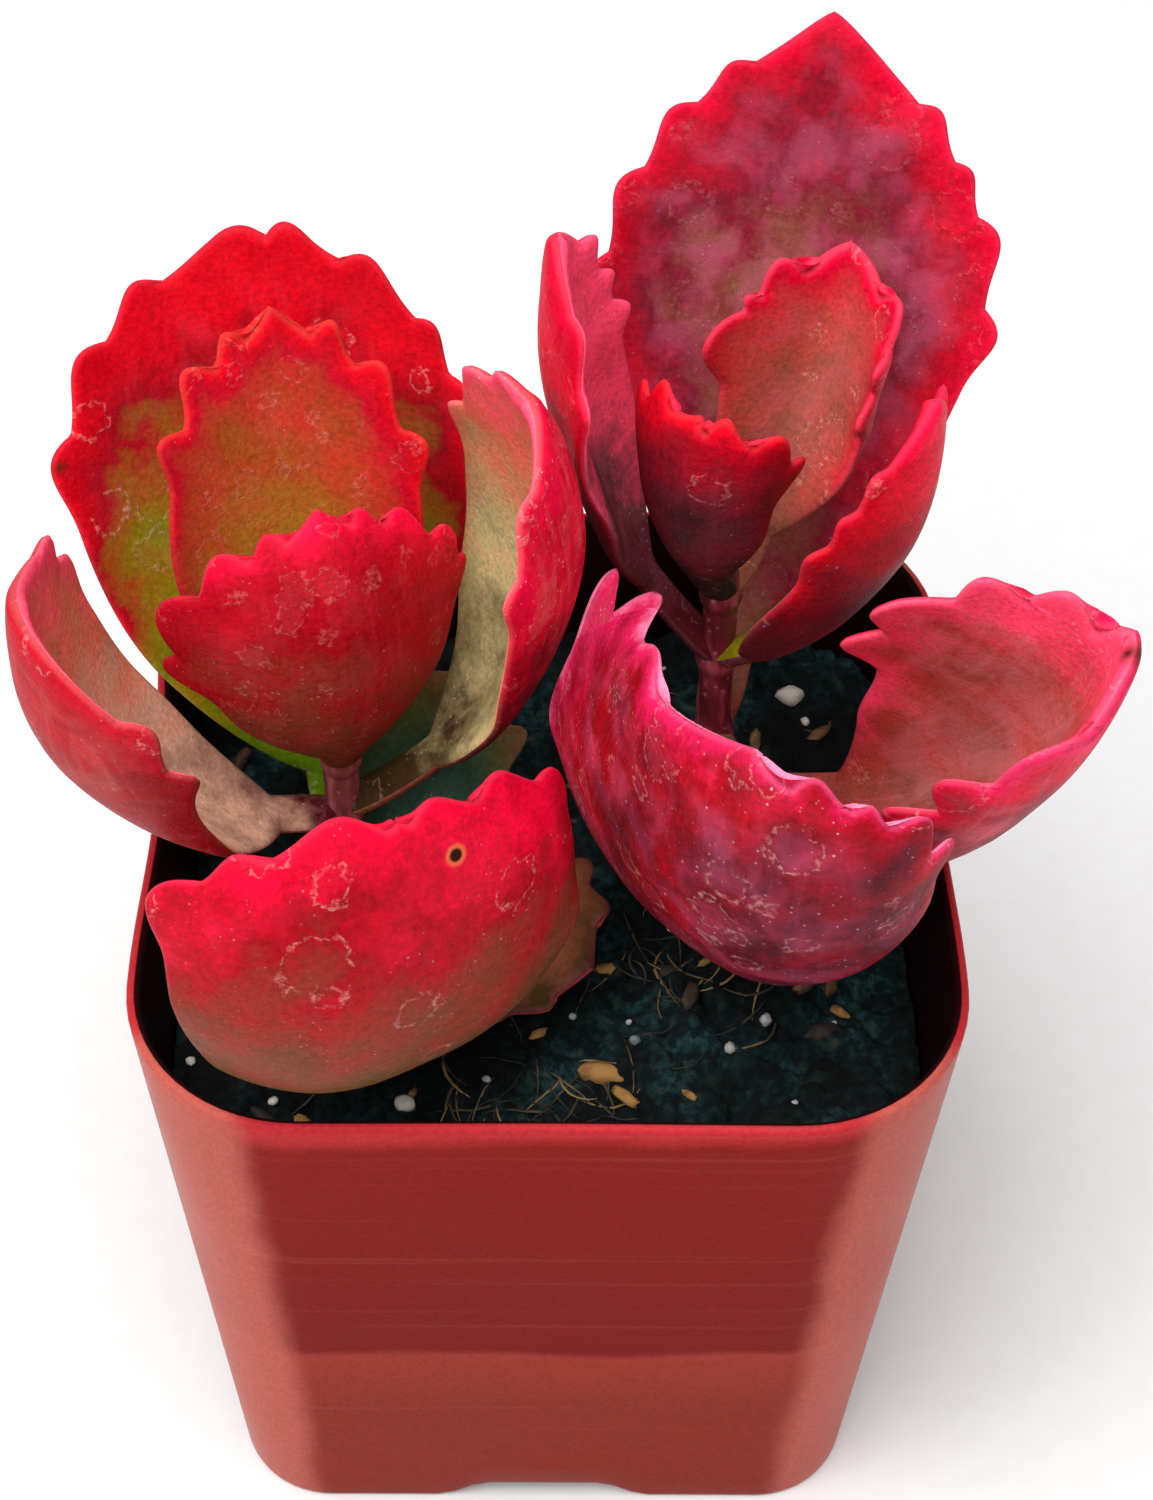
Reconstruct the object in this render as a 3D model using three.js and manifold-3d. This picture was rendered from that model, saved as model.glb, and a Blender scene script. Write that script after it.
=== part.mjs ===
// Kalanchoe longiflora, the long-flower kalanchoe, with two rooted shoots in a square nursery pot.
// Millimetres, +Z up. The pot stands on its four corner feet at z = 0, and the origin is the middle of
// the whole plant's footprint.

import * as THREE from 'three';
import { mergeVertices } from 'three/addons/utils/BufferGeometryUtils.js';
import Module from 'manifold-3d';

const wasm = await Module();
wasm.setup();

// The pot: a 2.5 inch square nursery pot, thin moulded plastic that narrows towards its foot.
const POT = {
  height: 64,
  rimHalf: 32,
  footHalf: 26.1,
  rimCorner: 13.4,
  footCorner: 7.7,
  rimBow: 0.9,
  wall: 1.1,
  footWall: 2,
  floorUnder: 2.6,
  floorTop: 3.8,
  archHeight: 2,
  archTopHalf: 4.75,
  archFootHalf: 9,
  cornerSteps: 5,
  holeRadius: 2.6,
  holeOffset: 14,
};

// The peat fills the pot to a finger's width below the rim. Its surface is the sum of the waves, each
// with its height and how fast it turns along x and y, in radians a millimetre.
const SOIL = {
  level: 51,
  gap: 0.35,
  rings: [0.86, 0.66, 0.42, 0.2],
  waves: [
    { height: 0.6, x: 0.24, y: 0.21, shift: 1.1 },
    { height: 0.3, x: 0.71, y: 0.63, shift: -0.6 },
  ],
};

// Two upright stems. Each leaf pair grows from a swollen node, and the stem ends in a pointed bud.
const STEM = { radius: 1.45, node: 1.8, nodeReach: 1.1, tip: 5, sides: 10, buried: 12, holeGap: 0.35 };
const SHOOTS = {
  left: { x: -16.2, y: -1, nodes: [53.3, 56.5, 63.5, 70] },
  right: { x: 13.3, y: 9.5, nodes: [54, 61.5, 70, 77.5] },
};

// How thick a leaf is at its stalk, at its tip along the midrib, and all round its margin.
// ribSlant is how far a side rib leans towards the tip. COLUMNS are the places of the points along a rib,
// from the left margin at 1 to the right margin at -1.
const BLADE = {
  stalk: 2.3,
  tip: 1.6,
  edge: 0.9,
  stalkHalf: 2,
  stalkRows: 3,
  stemGap: 0.35,
  stemStep: 0.05,
  ribSlant: 0.35,
  leastRib: 0.1,
};
const COLUMNS = [1, 0.75, 0.4, 0, -0.4, -0.75, -1];

const COLOURS = { pot: 0xa3402f, soil: 0x17211f, left_stem: 0x8e3644, right_stem: 0x8e2440 };
const ROUGHNESS = { pot: 0.4, soil: 1, stem: 0.6, leaf: 0.5 };

// A lobe of the margin: how much of its height lies inside the smooth outline, and how round it is.
const TOOTH = { sink: 0.55, roundness: 0.7, smoothPower: 6 };
const OUTLINE_STEPS = 400;
const SPINE_STEPS = 80;
const HOLE_SIDES = 12;

// Each leaf grows from a node of its shoot. turn is the way it points, in degrees from +X, and swing is
// how far that way bends by the tip. rise is its slope in degrees at the stem and at the tip. length,
// stalk and width (of one half) are the flat leaf. form sets the blunt or slender outline: the powers at
// the stalk and at the tip. cup is the slope and the further curl of each half, in degrees, left first.
// share is the right half's width against the left's. notches are the dips between the margin's lobes, as
// shares of the margin's length, left margin first, and depth is the height of the lobes between them.
// rows is the number of facets along the blade.
const LEAVES = {
  left_leaf_0_right: {
    shoot: 'left', node: 0, turn: -29, rise: [-1, 22], length: 23, stalk: 5, width: 7.9, form: [0.9, 0.5],
    roll: 1, cup: [[6, 25], [2, 20]], depth: 1.2, notches: [[0.5, 0.68, 0.84], [0.5, 0.68, 0.84]],
    colour: 0xc2452c, rows: 14,
  },
  left_leaf_0_back: {
    shoot: 'left', node: 0, turn: 63, rise: [15, 28], length: 20.5, stalk: 4.6, width: 8, form: [0.9, 0.5],
    cup: [[5, 20], [5, 18]], depth: 1.2, notches: [[0.5, 0.68, 0.84], [0.5, 0.68, 0.84]],
    colour: 0x4f6f4c, rows: 14,
  },
  left_leaf_1_back: {
    shoot: 'left', node: 1, turn: 103, swing: -2, rise: [43, 74], length: 52, stalk: 8, width: 17.4,
    share: 0.84, form: [0.85, 0.55], roll: -4, twist: -3, cup: [[-1, 33], [2, 34]], depth: 1.6,
    notches: [[0.46, 0.61, 0.745, 0.85, 1], [0.5, 0.645, 0.74, 0.88, 1]], colour: 0xb81c22, rows: 26,
  },
  left_leaf_1_front: {
    shoot: 'left', node: 1, turn: -79, swing: 7, rise: [-10, 131], pace: 1.14, length: 59, stalk: 8,
    width: 18.3, share: 1.03, form: [0.86, 0.2], roll: 6, twist: 7, cup: [[-5, 56], [-6, 68]], depth: 1.8,
    notches: [[0.65, 0.8, 0.905, 0.99], [0.64, 0.8, 0.867, 0.985]], colour: 0xc9263f, rows: 26,
  },
  left_leaf_2_left: {
    shoot: 'left', node: 2, turn: 200, swing: 5, rise: [10, 100], length: 45, stalk: 6, width: 13.7,
    share: 0.86, form: [0.88, 0.4], roll: -7, twist: -8, cup: [[12, 64], [12, 16]], depth: 1.4,
    notches: [[0.45, 0.62, 0.76], [0.5, 0.66, 0.82]], colour: 0xc0283c, rows: 24,
  },
  left_leaf_2_right: {
    shoot: 'left', node: 2, turn: 9, swing: 2, rise: [26, 115], length: 50.5, stalk: 9.3, width: 13,
    share: 0.91, form: [0.94, 0.49], roll: -5, twist: 9, cup: [[15, 27], [22, 26]], depth: 1.4,
    notches: [[0.5, 0.66, 0.83, 0.95], [0.56, 0.7, 0.85]], colour: 0xb92a45, rows: 24,
  },
  left_leaf_3_back: {
    shoot: 'left', node: 3, turn: 105, swing: 4, rise: [56, 71], length: 36.5, stalk: 5, width: 11.2,
    share: 0.85, form: [0.85, 0.7], roll: -2, twist: -1, cup: [[9, 25], [11, 26]], depth: 2.1,
    notches: [[0.575, 0.715, 0.845, 0.93], [0.47, 0.62, 0.785, 0.9]], colour: 0xb03a26, rows: 24,
  },
  left_leaf_3_front: {
    shoot: 'left', node: 3, turn: -77, swing: 7, rise: [47, 136], length: 29, stalk: 5.3, width: 13.2,
    form: [0.9, 0.62], roll: 4, twist: 1, cup: [[12, 40], [8, 41]], depth: 2,
    notches: [[0.38, 0.52, 0.68, 0.85, 0.94], [0.3, 0.45, 0.69, 0.835, 0.92]], colour: 0xb81f3a, rows: 24,
  },
  right_leaf_0_right: {
    shoot: 'right', node: 0, turn: -29, swing: -9, rise: [24, 78], pace: 1.19, length: 53.6, stalk: 14.2,
    width: 16.6, share: 1.1, form: [1.11, 0.48], roll: 40, twist: 4, cup: [[41, 52], [10, 92]], depth: 2.4,
    notches: [[0.35, 0.52, 0.725, 0.835, 0.945], [0.48, 0.605, 0.715, 0.86]], colour: 0xc23a46, rows: 26,
  },
  right_leaf_1_back: {
    shoot: 'right', node: 1, turn: 73, swing: 4, rise: [41, 75], length: 59, stalk: 9, width: 15.5,
    share: 0.95, form: [1.1, 0.85], roll: 3, twist: 1, cup: [[8, 27], [5, 13]], depth: 1.5,
    notches: [[0.42, 0.55, 0.68, 0.79, 0.88], [0.42, 0.54, 0.665, 0.745, 0.835]], colour: 0xa82346,
    rows: 28,
  },
  right_leaf_1_front: {
    shoot: 'right', node: 1, turn: -78, swing: -41, rise: [-15, 122], pace: 1.19, length: 61.5, stalk: 7.7,
    width: 17.15, share: 1.76, form: [0.82, 0.32], roll: -16, twist: -1, cup: [[2, 94], [4, 69]], depth: 2,
    notches: [[0.6, 0.72, 0.835, 0.885, 0.955], [0.46, 0.595, 0.75, 0.89]], colour: 0xc72a52, rows: 28,
  },
  right_leaf_2_left: {
    shoot: 'right', node: 2, turn: 165, swing: 6, rise: [45, 98], length: 45, stalk: 10.2, width: 8.3,
    share: 0.88, form: [0.89, 0.57], roll: 5, twist: 4, cup: [[21, 1], [17, 44]], depth: 1.3,
    notches: [[0.55, 0.7, 0.85], [0.5, 0.62, 0.71, 0.83]], colour: 0xb52348, rows: 22,
  },
  right_leaf_2_right: {
    shoot: 'right', node: 2, turn: -25, swing: -1, rise: [35, 97], length: 40, stalk: 5.7, width: 9.5,
    share: 0.95, form: [0.6, 0.71], roll: -8, twist: 10, cup: [[9, 8], [17, 27]], depth: 1.2,
    notches: [[0.5, 0.63, 0.76, 0.88], [0.5, 0.64, 0.74, 0.85]], colour: 0xa61f38, rows: 22,
  },
  right_leaf_3_back: {
    shoot: 'right', node: 3, turn: 58, swing: -7, rise: [35, 79], length: 29.5, stalk: 5.6, width: 9.7,
    form: [1.04, 0.49], roll: 24, twist: 8, cup: [[21, 29], [26, 76]], depth: 2,
    notches: [[0.4, 0.685, 0.745, 0.89], [0.4, 0.56, 0.7, 0.86, 0.985]], colour: 0xb5313f, rows: 24,
  },
  right_leaf_3_front: {
    shoot: 'right', node: 3, turn: -125, swing: -13, rise: [52, 107], length: 23.5, stalk: 5.5, width: 8.3,
    form: [1.01, 0.46], roll: 5, twist: 3, cup: [[16, 66], [12, 33]], depth: 1.8,
    notches: [[0.35, 0.6, 0.83, 0.975], [0.45, 0.69, 0.87]], colour: 0xa01424, rows: 22,
  },
};

const lerp = THREE.MathUtils.lerp;
const clamp = THREE.MathUtils.clamp;
const radians = THREE.MathUtils.degToRad;

// Flat leaf

// The half outline of the blade as a fine chain of points from the stalk's end to the tip. The half
// width is x^a (1 - x)^b, scaled to its largest value, on top of the stalk's own width.
function halfOutline(leaf) {
  const [a, b] = leaf.form;
  const peak = (a / (a + b)) ** a * (b / (a + b)) ** b;
  const points = [];
  let travelled = 0;
  for (let i = 0; i <= OUTLINE_STEPS; i += 1) {
    const x = Math.sin((Math.PI * i) / OUTLINE_STEPS / 2) ** 2;
    const swell = (x ** a * (1 - x) ** b) / peak;
    const along = lerp(leaf.stalk, leaf.length, x);
    const out = BLADE.stalkHalf * Math.sqrt(1 - x) + leaf.width * swell;
    const last = points.at(-1);
    if (last) travelled += Math.hypot(along - last.along, out - last.out);
    points.push({ along, out, travelled });
  }
  return points;
}

// How far the margin stands out at share t of its length: an arch between two notches and half an arch
// from the last notch to the tip. Below the first notch the margin is smooth.
function toothHeight(notches, depth, t) {
  const below = notches.filter((notch) => notch <= t).at(-1);
  const above = notches.find((notch) => notch > t);
  if (below === undefined) return -TOOTH.sink * depth * (t / notches[0]) ** TOOTH.smoothPower;
  if (below >= 1) return -TOOTH.sink * depth;
  const turn = above === undefined ? (t - below) / (1 - below) / 2 : (t - below) / (above - below);
  return depth * (Math.sin(Math.PI * turn) ** TOOTH.roundness - TOOTH.sink);
}

// The toothed margin at share t: the smooth outline moved out along its own normal.
function marginPoint(outline, notches, depth, t) {
  const target = t * outline.at(-1).travelled;
  const next = clamp(outline.findIndex((point) => point.travelled >= target), 1, OUTLINE_STEPS);
  const from = outline[next - 1];
  const to = outline[next];
  const mix = clamp((target - from.travelled) / (to.travelled - from.travelled), 0, 1);
  const step = Math.hypot(to.along - from.along, to.out - from.out);
  const rise = toothHeight(notches, depth, t);
  return {
    along: lerp(from.along, to.along, mix) - (rise * (to.out - from.out)) / step,
    out: t < 1 ? lerp(from.out, to.out, mix) + (rise * (to.along - from.along)) / step : 0,
  };
}

// Shares of the margin where the mesh has a row: each notch, and rows between them spread by distance.
function rowShares(notches, rows) {
  const stops = [0, ...notches.filter((notch) => notch < 1), 1];
  const spans = stops.slice(1).map((stop, i) => stop - stops[i]);
  const counts = spans.map(() => 2);
  for (let spare = rows - 2 * spans.length; spare > 0; spare -= 1) {
    const steps = spans.map((span, i) => span / counts[i]);
    counts[steps.indexOf(Math.max(...steps))] += 1;
  }
  const shares = [0];
  spans.forEach((span, i) => {
    for (let step = 1; step <= counts[i]; step += 1) shares.push(stops[i] + (span * step) / counts[i]);
  });
  return shares;
}

// The flat leaf as rows of columns. Each row is a rib that slants from the midrib out to both margins.
function flatRows(leaf, start) {
  const outline = halfOutline(leaf);
  const sides = leaf.notches.map((notches) =>
    rowShares(notches, leaf.rows).map((t) => marginPoint(outline, notches, leaf.depth, t)));
  const slant = (point) => point.along - BLADE.ribSlant * point.out;
  const ribs = sides[0].map((left, i) => ({ left, right: sides[1][i] }));
  ribs.forEach((rib) => {
    rib.mid = (slant(rib.left) + slant(rib.right)) / 2;
  });
  // On the midrib each rib starts at least a little below the next one.
  for (let i = ribs.length - 2; i >= 0; i -= 1) {
    ribs[i].mid = Math.min(ribs[i].mid, ribs[i + 1].mid - BLADE.leastRib);
  }
  const stalk = [];
  for (let i = 0; i < BLADE.stalkRows; i += 1) {
    const along = lerp(start, Math.min(leaf.stalk, ribs[0].mid), i / BLADE.stalkRows);
    const edge = { along, out: BLADE.stalkHalf };
    stalk.push({ left: edge, right: edge, mid: along });
  }
  const column = (rib, q) => {
    const edge = q > 0 ? rib.left : rib.right;
    return { along: lerp(rib.mid, edge.along, Math.abs(q)), across: edge.out * q, q };
  };
  return [...stalk, ...ribs].map((rib) => COLUMNS.map((q) => column(rib, q)));
}

// Bent leaf

// The midrib's curve: its slope goes from rise[0] to rise[1], and its direction turns by swing.
function makeSpine(leaf) {
  const shoot = SHOOTS[leaf.shoot];
  const point = new THREE.Vector3(shoot.x, shoot.y, shoot.nodes[leaf.node]);
  const spine = [];
  for (let i = 0; i <= SPINE_STEPS; i += 1) {
    const share = i / SPINE_STEPS;
    const slope = radians(lerp(leaf.rise[0], leaf.rise[1], share ** (leaf.pace ?? 1)));
    const heading = radians(leaf.turn + (leaf.swing ?? 0) * share);
    const level = new THREE.Vector3(Math.cos(heading), Math.sin(heading), 0);
    const forward = level.multiplyScalar(Math.cos(slope)).setZ(Math.sin(slope));
    const last = spine.at(-1);
    if (last) {
      const mean = last.forward.clone().add(forward).multiplyScalar(leaf.length / SPINE_STEPS / 2);
      point.add(mean);
    }
    spine.push({ point: point.clone(), forward, heading });
  }
  return spine;
}

// A flat leaf point on the bent sheet, with the sheet's normal. Across the midrib each half starts at
// its cup's first slope and curls by the second, so its section is an arc.
function bend(leaf, spine, { along, across }) {
  const share = along / leaf.length;
  const place = clamp(share, 0, 1) * SPINE_STEPS;
  const from = spine[Math.floor(place)];
  const to = spine[Math.ceil(place)];
  const mix = place - Math.floor(place);
  const forward = from.forward.clone().lerp(to.forward, mix).normalize();
  const centre = from.point.clone().lerp(to.point, mix);
  centre.addScaledVector(forward, Math.max(along - leaf.length, 0));
  const heading = lerp(from.heading, to.heading, mix);
  const level = new THREE.Vector3(-Math.sin(heading), Math.cos(heading), 0);
  const roll = radians((leaf.roll ?? 0) + (leaf.twist ?? 0) * clamp(share, 0, 1));
  const side = level.clone().applyAxisAngle(forward, roll);
  const up = forward.clone().cross(side);
  const hand = across >= 0 ? 1 : -1;
  const reach = across >= 0 ? 1 : leaf.share ?? 1;
  const [first, curl] = leaf.cup[across >= 0 ? 0 : 1].map(radians);
  const bendRate = curl / (leaf.width * reach);
  const slope = first + bendRate * Math.abs(across) * reach;
  centre.addScaledVector(side, (hand * (Math.sin(slope) - Math.sin(first))) / bendRate);
  centre.addScaledVector(up, (Math.cos(first) - Math.cos(slope)) / bendRate);
  const lean = across === 0 ? 0 : slope;
  const normal = up.multiplyScalar(Math.cos(lean)).addScaledVector(side, -hand * Math.sin(lean));
  return { point: centre, normal };
}

// The points of the leaf's upper and lower skin at a flat leaf point.
function skinPair(leaf, spine, place) {
  const { point, normal } = bend(leaf, spine, place);
  const middle = lerp(BLADE.stalk, BLADE.tip, clamp(place.along / leaf.length, 0, 1));
  const half = (BLADE.edge + (middle - BLADE.edge) * (1 - place.q ** 2)) / 2;
  return [half, -half].map((lift) => point.clone().addScaledVector(normal, lift));
}

// The stem's radius at a height above or below one of its nodes.
function stemRadius(shoot, node, height) {
  const beyond = Math.abs(height) - STEM.nodeReach;
  if (beyond < 0) return lerp(STEM.radius, STEM.node, -beyond / STEM.nodeReach);
  const pointed = node === shoot.nodes.length - 1 && height > 0;
  return pointed ? STEM.radius * Math.max(1 - beyond / STEM.tip, 0) : STEM.radius;
}

// Where the stalk begins along the leaf: the first place where its whole end stands one gap off the stem.
function stalkStart(leaf, spine) {
  const shoot = SHOOTS[leaf.shoot];
  const clears = (point) => {
    const radius = stemRadius(shoot, leaf.node, point.z - shoot.nodes[leaf.node]);
    return Math.hypot(point.x - shoot.x, point.y - shoot.y) >= radius + BLADE.stemGap;
  };
  const end = (along) => COLUMNS.flatMap((q) => {
    const [above, below] = skinPair(leaf, spine, { along, across: BLADE.stalkHalf * q, q });
    return [above, above.clone().lerp(below, 0.5), below];
  });
  let start = STEM.radius;
  while (!end(start).every(clears)) start += BLADE.stemStep;
  return start;
}

// The leaf's closed skin: an upper and a lower face with the same triangles, joined round the margin.
function leafGeometry(leaf) {
  const spine = makeSpine(leaf);
  const rows = flatRows(leaf, stalkStart(leaf, spine));
  const wide = COLUMNS.length;
  const last = rows.length - 1;
  const tip = { ...rows[last][(wide - 1) / 2], q: 1 };
  const vertices = [...rows.slice(0, last).flat(), tip].flatMap((place) => skinPair(leaf, spine, place));
  const upper = (i, j) => 2 * (i === last ? last * wide : i * wide + j);
  const lower = (i, j) => upper(i, j) + 1;
  const faces = [];
  const quad = (a, b, c, d) => faces.push([a, b, c], [a, c, d]);
  for (let i = 0; i < last; i += 1) {
    for (let j = 0; j < wide - 1; j += 1) {
      quad(upper(i, j), upper(i, j + 1), upper(i + 1, j + 1), upper(i + 1, j));
      quad(lower(i + 1, j), lower(i + 1, j + 1), lower(i, j + 1), lower(i, j));
    }
    quad(lower(i, 0), upper(i, 0), upper(i + 1, 0), lower(i + 1, 0));
    quad(upper(i, wide - 1), lower(i, wide - 1), lower(i + 1, wide - 1), upper(i + 1, wide - 1));
  }
  for (let j = 0; j < wide - 1; j += 1) quad(upper(0, j), lower(0, j), lower(0, j + 1), upper(0, j + 1));
  return closedGeometry(vertices, faces);
}

// Drops the triangles that a merged tip leaves without area.
function closedGeometry(vertices, faces) {
  const geometry = new THREE.BufferGeometry().setFromPoints(vertices);
  const whole = faces.filter(([a, b, c]) => a !== b && b !== c && c !== a);
  geometry.setIndex(whole.flat());
  return geometry;
}

// Pot and soil

// A square with round corners whose sides bow in. heightAt gives each point's z from its distance to
// the middle of its side.
function squareRing(half, corner, bow, heightAt) {
  const flat = half - corner;
  const ring = [];
  for (let side = 0; side < 4; side += 1) {
    const turn = new THREE.Matrix4().makeRotationZ((side * Math.PI) / 2);
    const add = (x, y, s) => ring.push(new THREE.Vector3(x, y, heightAt(Math.abs(s))).applyMatrix4(turn));
    const marks = [-POT.archFootHalf, -POT.archTopHalf, 0, POT.archTopHalf, POT.archFootHalf];
    marks.forEach((s) => add(half - bow * (1 - (s / flat) ** 2), s, s));
    for (let i = 0; i <= POT.cornerSteps; i += 1) {
      const angle = (i / POT.cornerSteps) * (Math.PI / 2);
      add(flat + corner * Math.cos(angle), flat + corner * Math.sin(angle), half);
    }
  }
  return ring;
}

// A level ring of the pot's wall at height z, inset from its outer face.
function wallRing(z, inset, heightAt = () => z) {
  const share = z / POT.height;
  const half = lerp(POT.footHalf, POT.rimHalf, share) - inset;
  const corner = lerp(POT.footCorner, POT.rimCorner, share) - inset;
  return squareRing(half, corner, POT.rimBow * share, heightAt);
}

// Skins a list of rings from the first one's middle to the last one's. A ring may be a single point. The
// diagonals always rise the same way round, so that two walls one gap apart keep that gap.
function ringStack(rings) {
  const vertices = rings.flat();
  const starts = rings.map((_, i) => rings.slice(0, i).reduce((sum, ring) => sum + ring.length, 0));
  const count = Math.max(...rings.map((ring) => ring.length));
  const at = (level, i) => starts[level] + (rings[level].length > 1 ? i % count : 0);
  const faces = [];
  for (let level = 0; level < rings.length - 1; level += 1) {
    for (let i = 0; i < count; i += 1) {
      const corners = [at(level, i), at(level, i + 1), at(level + 1, i + 1), at(level + 1, i)];
      if (rings[level][0].z > rings[level + 1][0].z) corners.push(corners.shift());
      const [p, q, r, t] = corners;
      faces.push([p, q, r], [p, r, t]);
    }
  }
  return closedGeometry(vertices, faces);
}

// Height of the arched lower edge at distance s from the middle of a side.
function archAt(s) {
  const ramp = (POT.archFootHalf - s) / (POT.archFootHalf - POT.archTopHalf);
  return POT.archHeight * clamp(ramp, 0, 1);
}

function potGeometry() {
  const shell = ringStack([
    [new THREE.Vector3(0, 0, POT.floorUnder)],
    wallRing(POT.floorUnder, POT.footWall),
    wallRing(0, POT.footWall, archAt),
    wallRing(0, 0, archAt),
    wallRing(POT.height, 0),
    wallRing(POT.height, POT.wall),
    wallRing(SOIL.level, POT.wall),
    wallRing(POT.floorTop, POT.wall),
    [new THREE.Vector3(0, 0, POT.floorTop)],
  ]);
  const holes = [[1, 1], [-1, 1], [-1, -1], [1, -1]].map(([x, y]) =>
    uprightCylinder(x * POT.holeOffset, y * POT.holeOffset, POT.holeRadius, 0, 2 * POT.floorTop));
  return cut(shell, holes);
}

function soilTop(x, y) {
  const lumps = SOIL.waves.map((wave) =>
    wave.height * Math.sin(wave.x * x + wave.shift) * Math.cos(wave.y * y - wave.shift));
  return lumps.reduce((sum, lump) => sum + lump, SOIL.level);
}

function soilGeometry() {
  const inset = POT.wall + SOIL.gap;
  const edge = wallRing(SOIL.level, inset);
  const surface = (scale) => edge.map(({ x, y }) =>
    new THREE.Vector3(x * scale, y * scale, soilTop(x * scale, y * scale)));
  const base = POT.floorTop + SOIL.gap;
  const body = ringStack([
    [new THREE.Vector3(0, 0, base)],
    wallRing(base, inset),
    surface(1),
    ...SOIL.rings.map(surface),
    [new THREE.Vector3(0, 0, soilTop(0, 0))],
  ]);
  const holes = Object.values(SHOOTS).map(({ x, y }) =>
    uprightCylinder(x, y, STEM.radius + STEM.holeGap, SOIL.level - STEM.buried - STEM.holeGap, POT.height));
  return cut(body, holes);
}

function uprightCylinder(x, y, radius, bottom, top) {
  const geometry = new THREE.CylinderGeometry(radius, radius, top - bottom, HOLE_SIDES);
  return geometry.rotateX(Math.PI / 2).translate(x, y, (bottom + top) / 2);
}

// Stems

// A straight stem, swollen at each node, that ends in a pointed bud between the youngest leaves.
function stemGeometry(shoot) {
  const profile = [new THREE.Vector2(0, SOIL.level - STEM.buried)];
  profile.push(new THREE.Vector2(STEM.radius, SOIL.level - STEM.buried));
  shoot.nodes.forEach((z) => {
    profile.push(new THREE.Vector2(STEM.radius, z - STEM.nodeReach));
    profile.push(new THREE.Vector2(STEM.node, z));
    profile.push(new THREE.Vector2(STEM.radius, z + STEM.nodeReach));
  });
  profile.push(new THREE.Vector2(0, shoot.nodes.at(-1) + STEM.nodeReach + STEM.tip));
  const geometry = new THREE.LatheGeometry(profile, STEM.sides);
  return geometry.rotateX(Math.PI / 2).translate(shoot.x, shoot.y, 0);
}

// Solids

function toSolid(geometry) {
  const bare = geometry.clone();
  bare.deleteAttribute('normal');
  bare.deleteAttribute('uv');
  const merged = mergeVertices(bare);
  const mesh = new wasm.Mesh({
    numProp: 3,
    vertProperties: new Float32Array(merged.attributes.position.array),
    triVerts: new Uint32Array(merged.index.array),
  });
  return new wasm.Manifold(mesh);
}

function toGeometry(solid) {
  const mesh = solid.getMesh();
  const geometry = new THREE.BufferGeometry();
  geometry.setAttribute('position', new THREE.BufferAttribute(mesh.vertProperties, 3));
  geometry.setIndex(new THREE.BufferAttribute(mesh.triVerts, 1));
  return geometry;
}

function cut(body, tools) {
  return toGeometry(tools.reduce((solid, tool) => solid.subtract(toSolid(tool)), toSolid(body)));
}

function piece(name, geometry, color, roughness) {
  const mesh = new THREE.Mesh(geometry, new THREE.MeshStandardMaterial({ color, roughness, metalness: 0 }));
  mesh.name = name;
  return mesh;
}

const plant = new THREE.Group();
plant.add(piece('pot', potGeometry(), COLOURS.pot, ROUGHNESS.pot));
plant.add(piece('soil', soilGeometry(), COLOURS.soil, ROUGHNESS.soil));
plant.add(piece('left_stem', stemGeometry(SHOOTS.left), COLOURS.left_stem, ROUGHNESS.stem));
plant.add(piece('right_stem', stemGeometry(SHOOTS.right), COLOURS.right_stem, ROUGHNESS.stem));
Object.entries(LEAVES).forEach(([name, leaf]) => {
  plant.add(piece(name, leafGeometry(leaf), leaf.colour, ROUGHNESS.leaf));
});

// The footprint's middle becomes the origin.
const box = new THREE.Box3().setFromObject(plant);
plant.position.set(-(box.min.x + box.max.x) / 2, -(box.min.y + box.max.y) / 2, 0);

export default plant;
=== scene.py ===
# %% [markdown]
# # A potted kalanchoe
#
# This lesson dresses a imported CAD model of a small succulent, the long-flower kalanchoe, in its square
# nursery pot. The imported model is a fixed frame: every piece made here is in metres and lies where the
# model says. The leaves are worked out from the same few measures as the solids, with many more points.

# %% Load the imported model
from functools import partial

import bpy
import numpy as np
from mathutils import Matrix, Vector


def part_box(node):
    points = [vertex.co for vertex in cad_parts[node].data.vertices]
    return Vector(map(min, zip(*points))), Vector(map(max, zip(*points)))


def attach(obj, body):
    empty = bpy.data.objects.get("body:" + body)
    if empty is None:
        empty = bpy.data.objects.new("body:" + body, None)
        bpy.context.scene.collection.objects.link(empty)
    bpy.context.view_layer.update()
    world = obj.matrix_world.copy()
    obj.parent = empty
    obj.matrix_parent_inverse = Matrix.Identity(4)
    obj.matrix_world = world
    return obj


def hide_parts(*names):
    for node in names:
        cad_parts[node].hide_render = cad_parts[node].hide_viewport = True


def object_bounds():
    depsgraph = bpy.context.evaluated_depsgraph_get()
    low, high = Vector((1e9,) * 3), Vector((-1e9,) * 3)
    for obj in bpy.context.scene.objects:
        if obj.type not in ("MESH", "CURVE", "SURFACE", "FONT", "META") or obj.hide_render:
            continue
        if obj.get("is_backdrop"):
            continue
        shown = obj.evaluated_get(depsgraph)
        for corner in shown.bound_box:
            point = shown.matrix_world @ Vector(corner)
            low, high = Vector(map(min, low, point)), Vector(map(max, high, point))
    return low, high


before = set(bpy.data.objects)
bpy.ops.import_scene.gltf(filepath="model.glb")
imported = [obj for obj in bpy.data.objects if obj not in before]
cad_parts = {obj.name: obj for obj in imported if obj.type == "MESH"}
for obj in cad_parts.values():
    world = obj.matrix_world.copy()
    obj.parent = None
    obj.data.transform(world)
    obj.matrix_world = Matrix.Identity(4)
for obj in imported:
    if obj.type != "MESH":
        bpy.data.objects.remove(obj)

cad_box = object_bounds()
MM = 0.001
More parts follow.
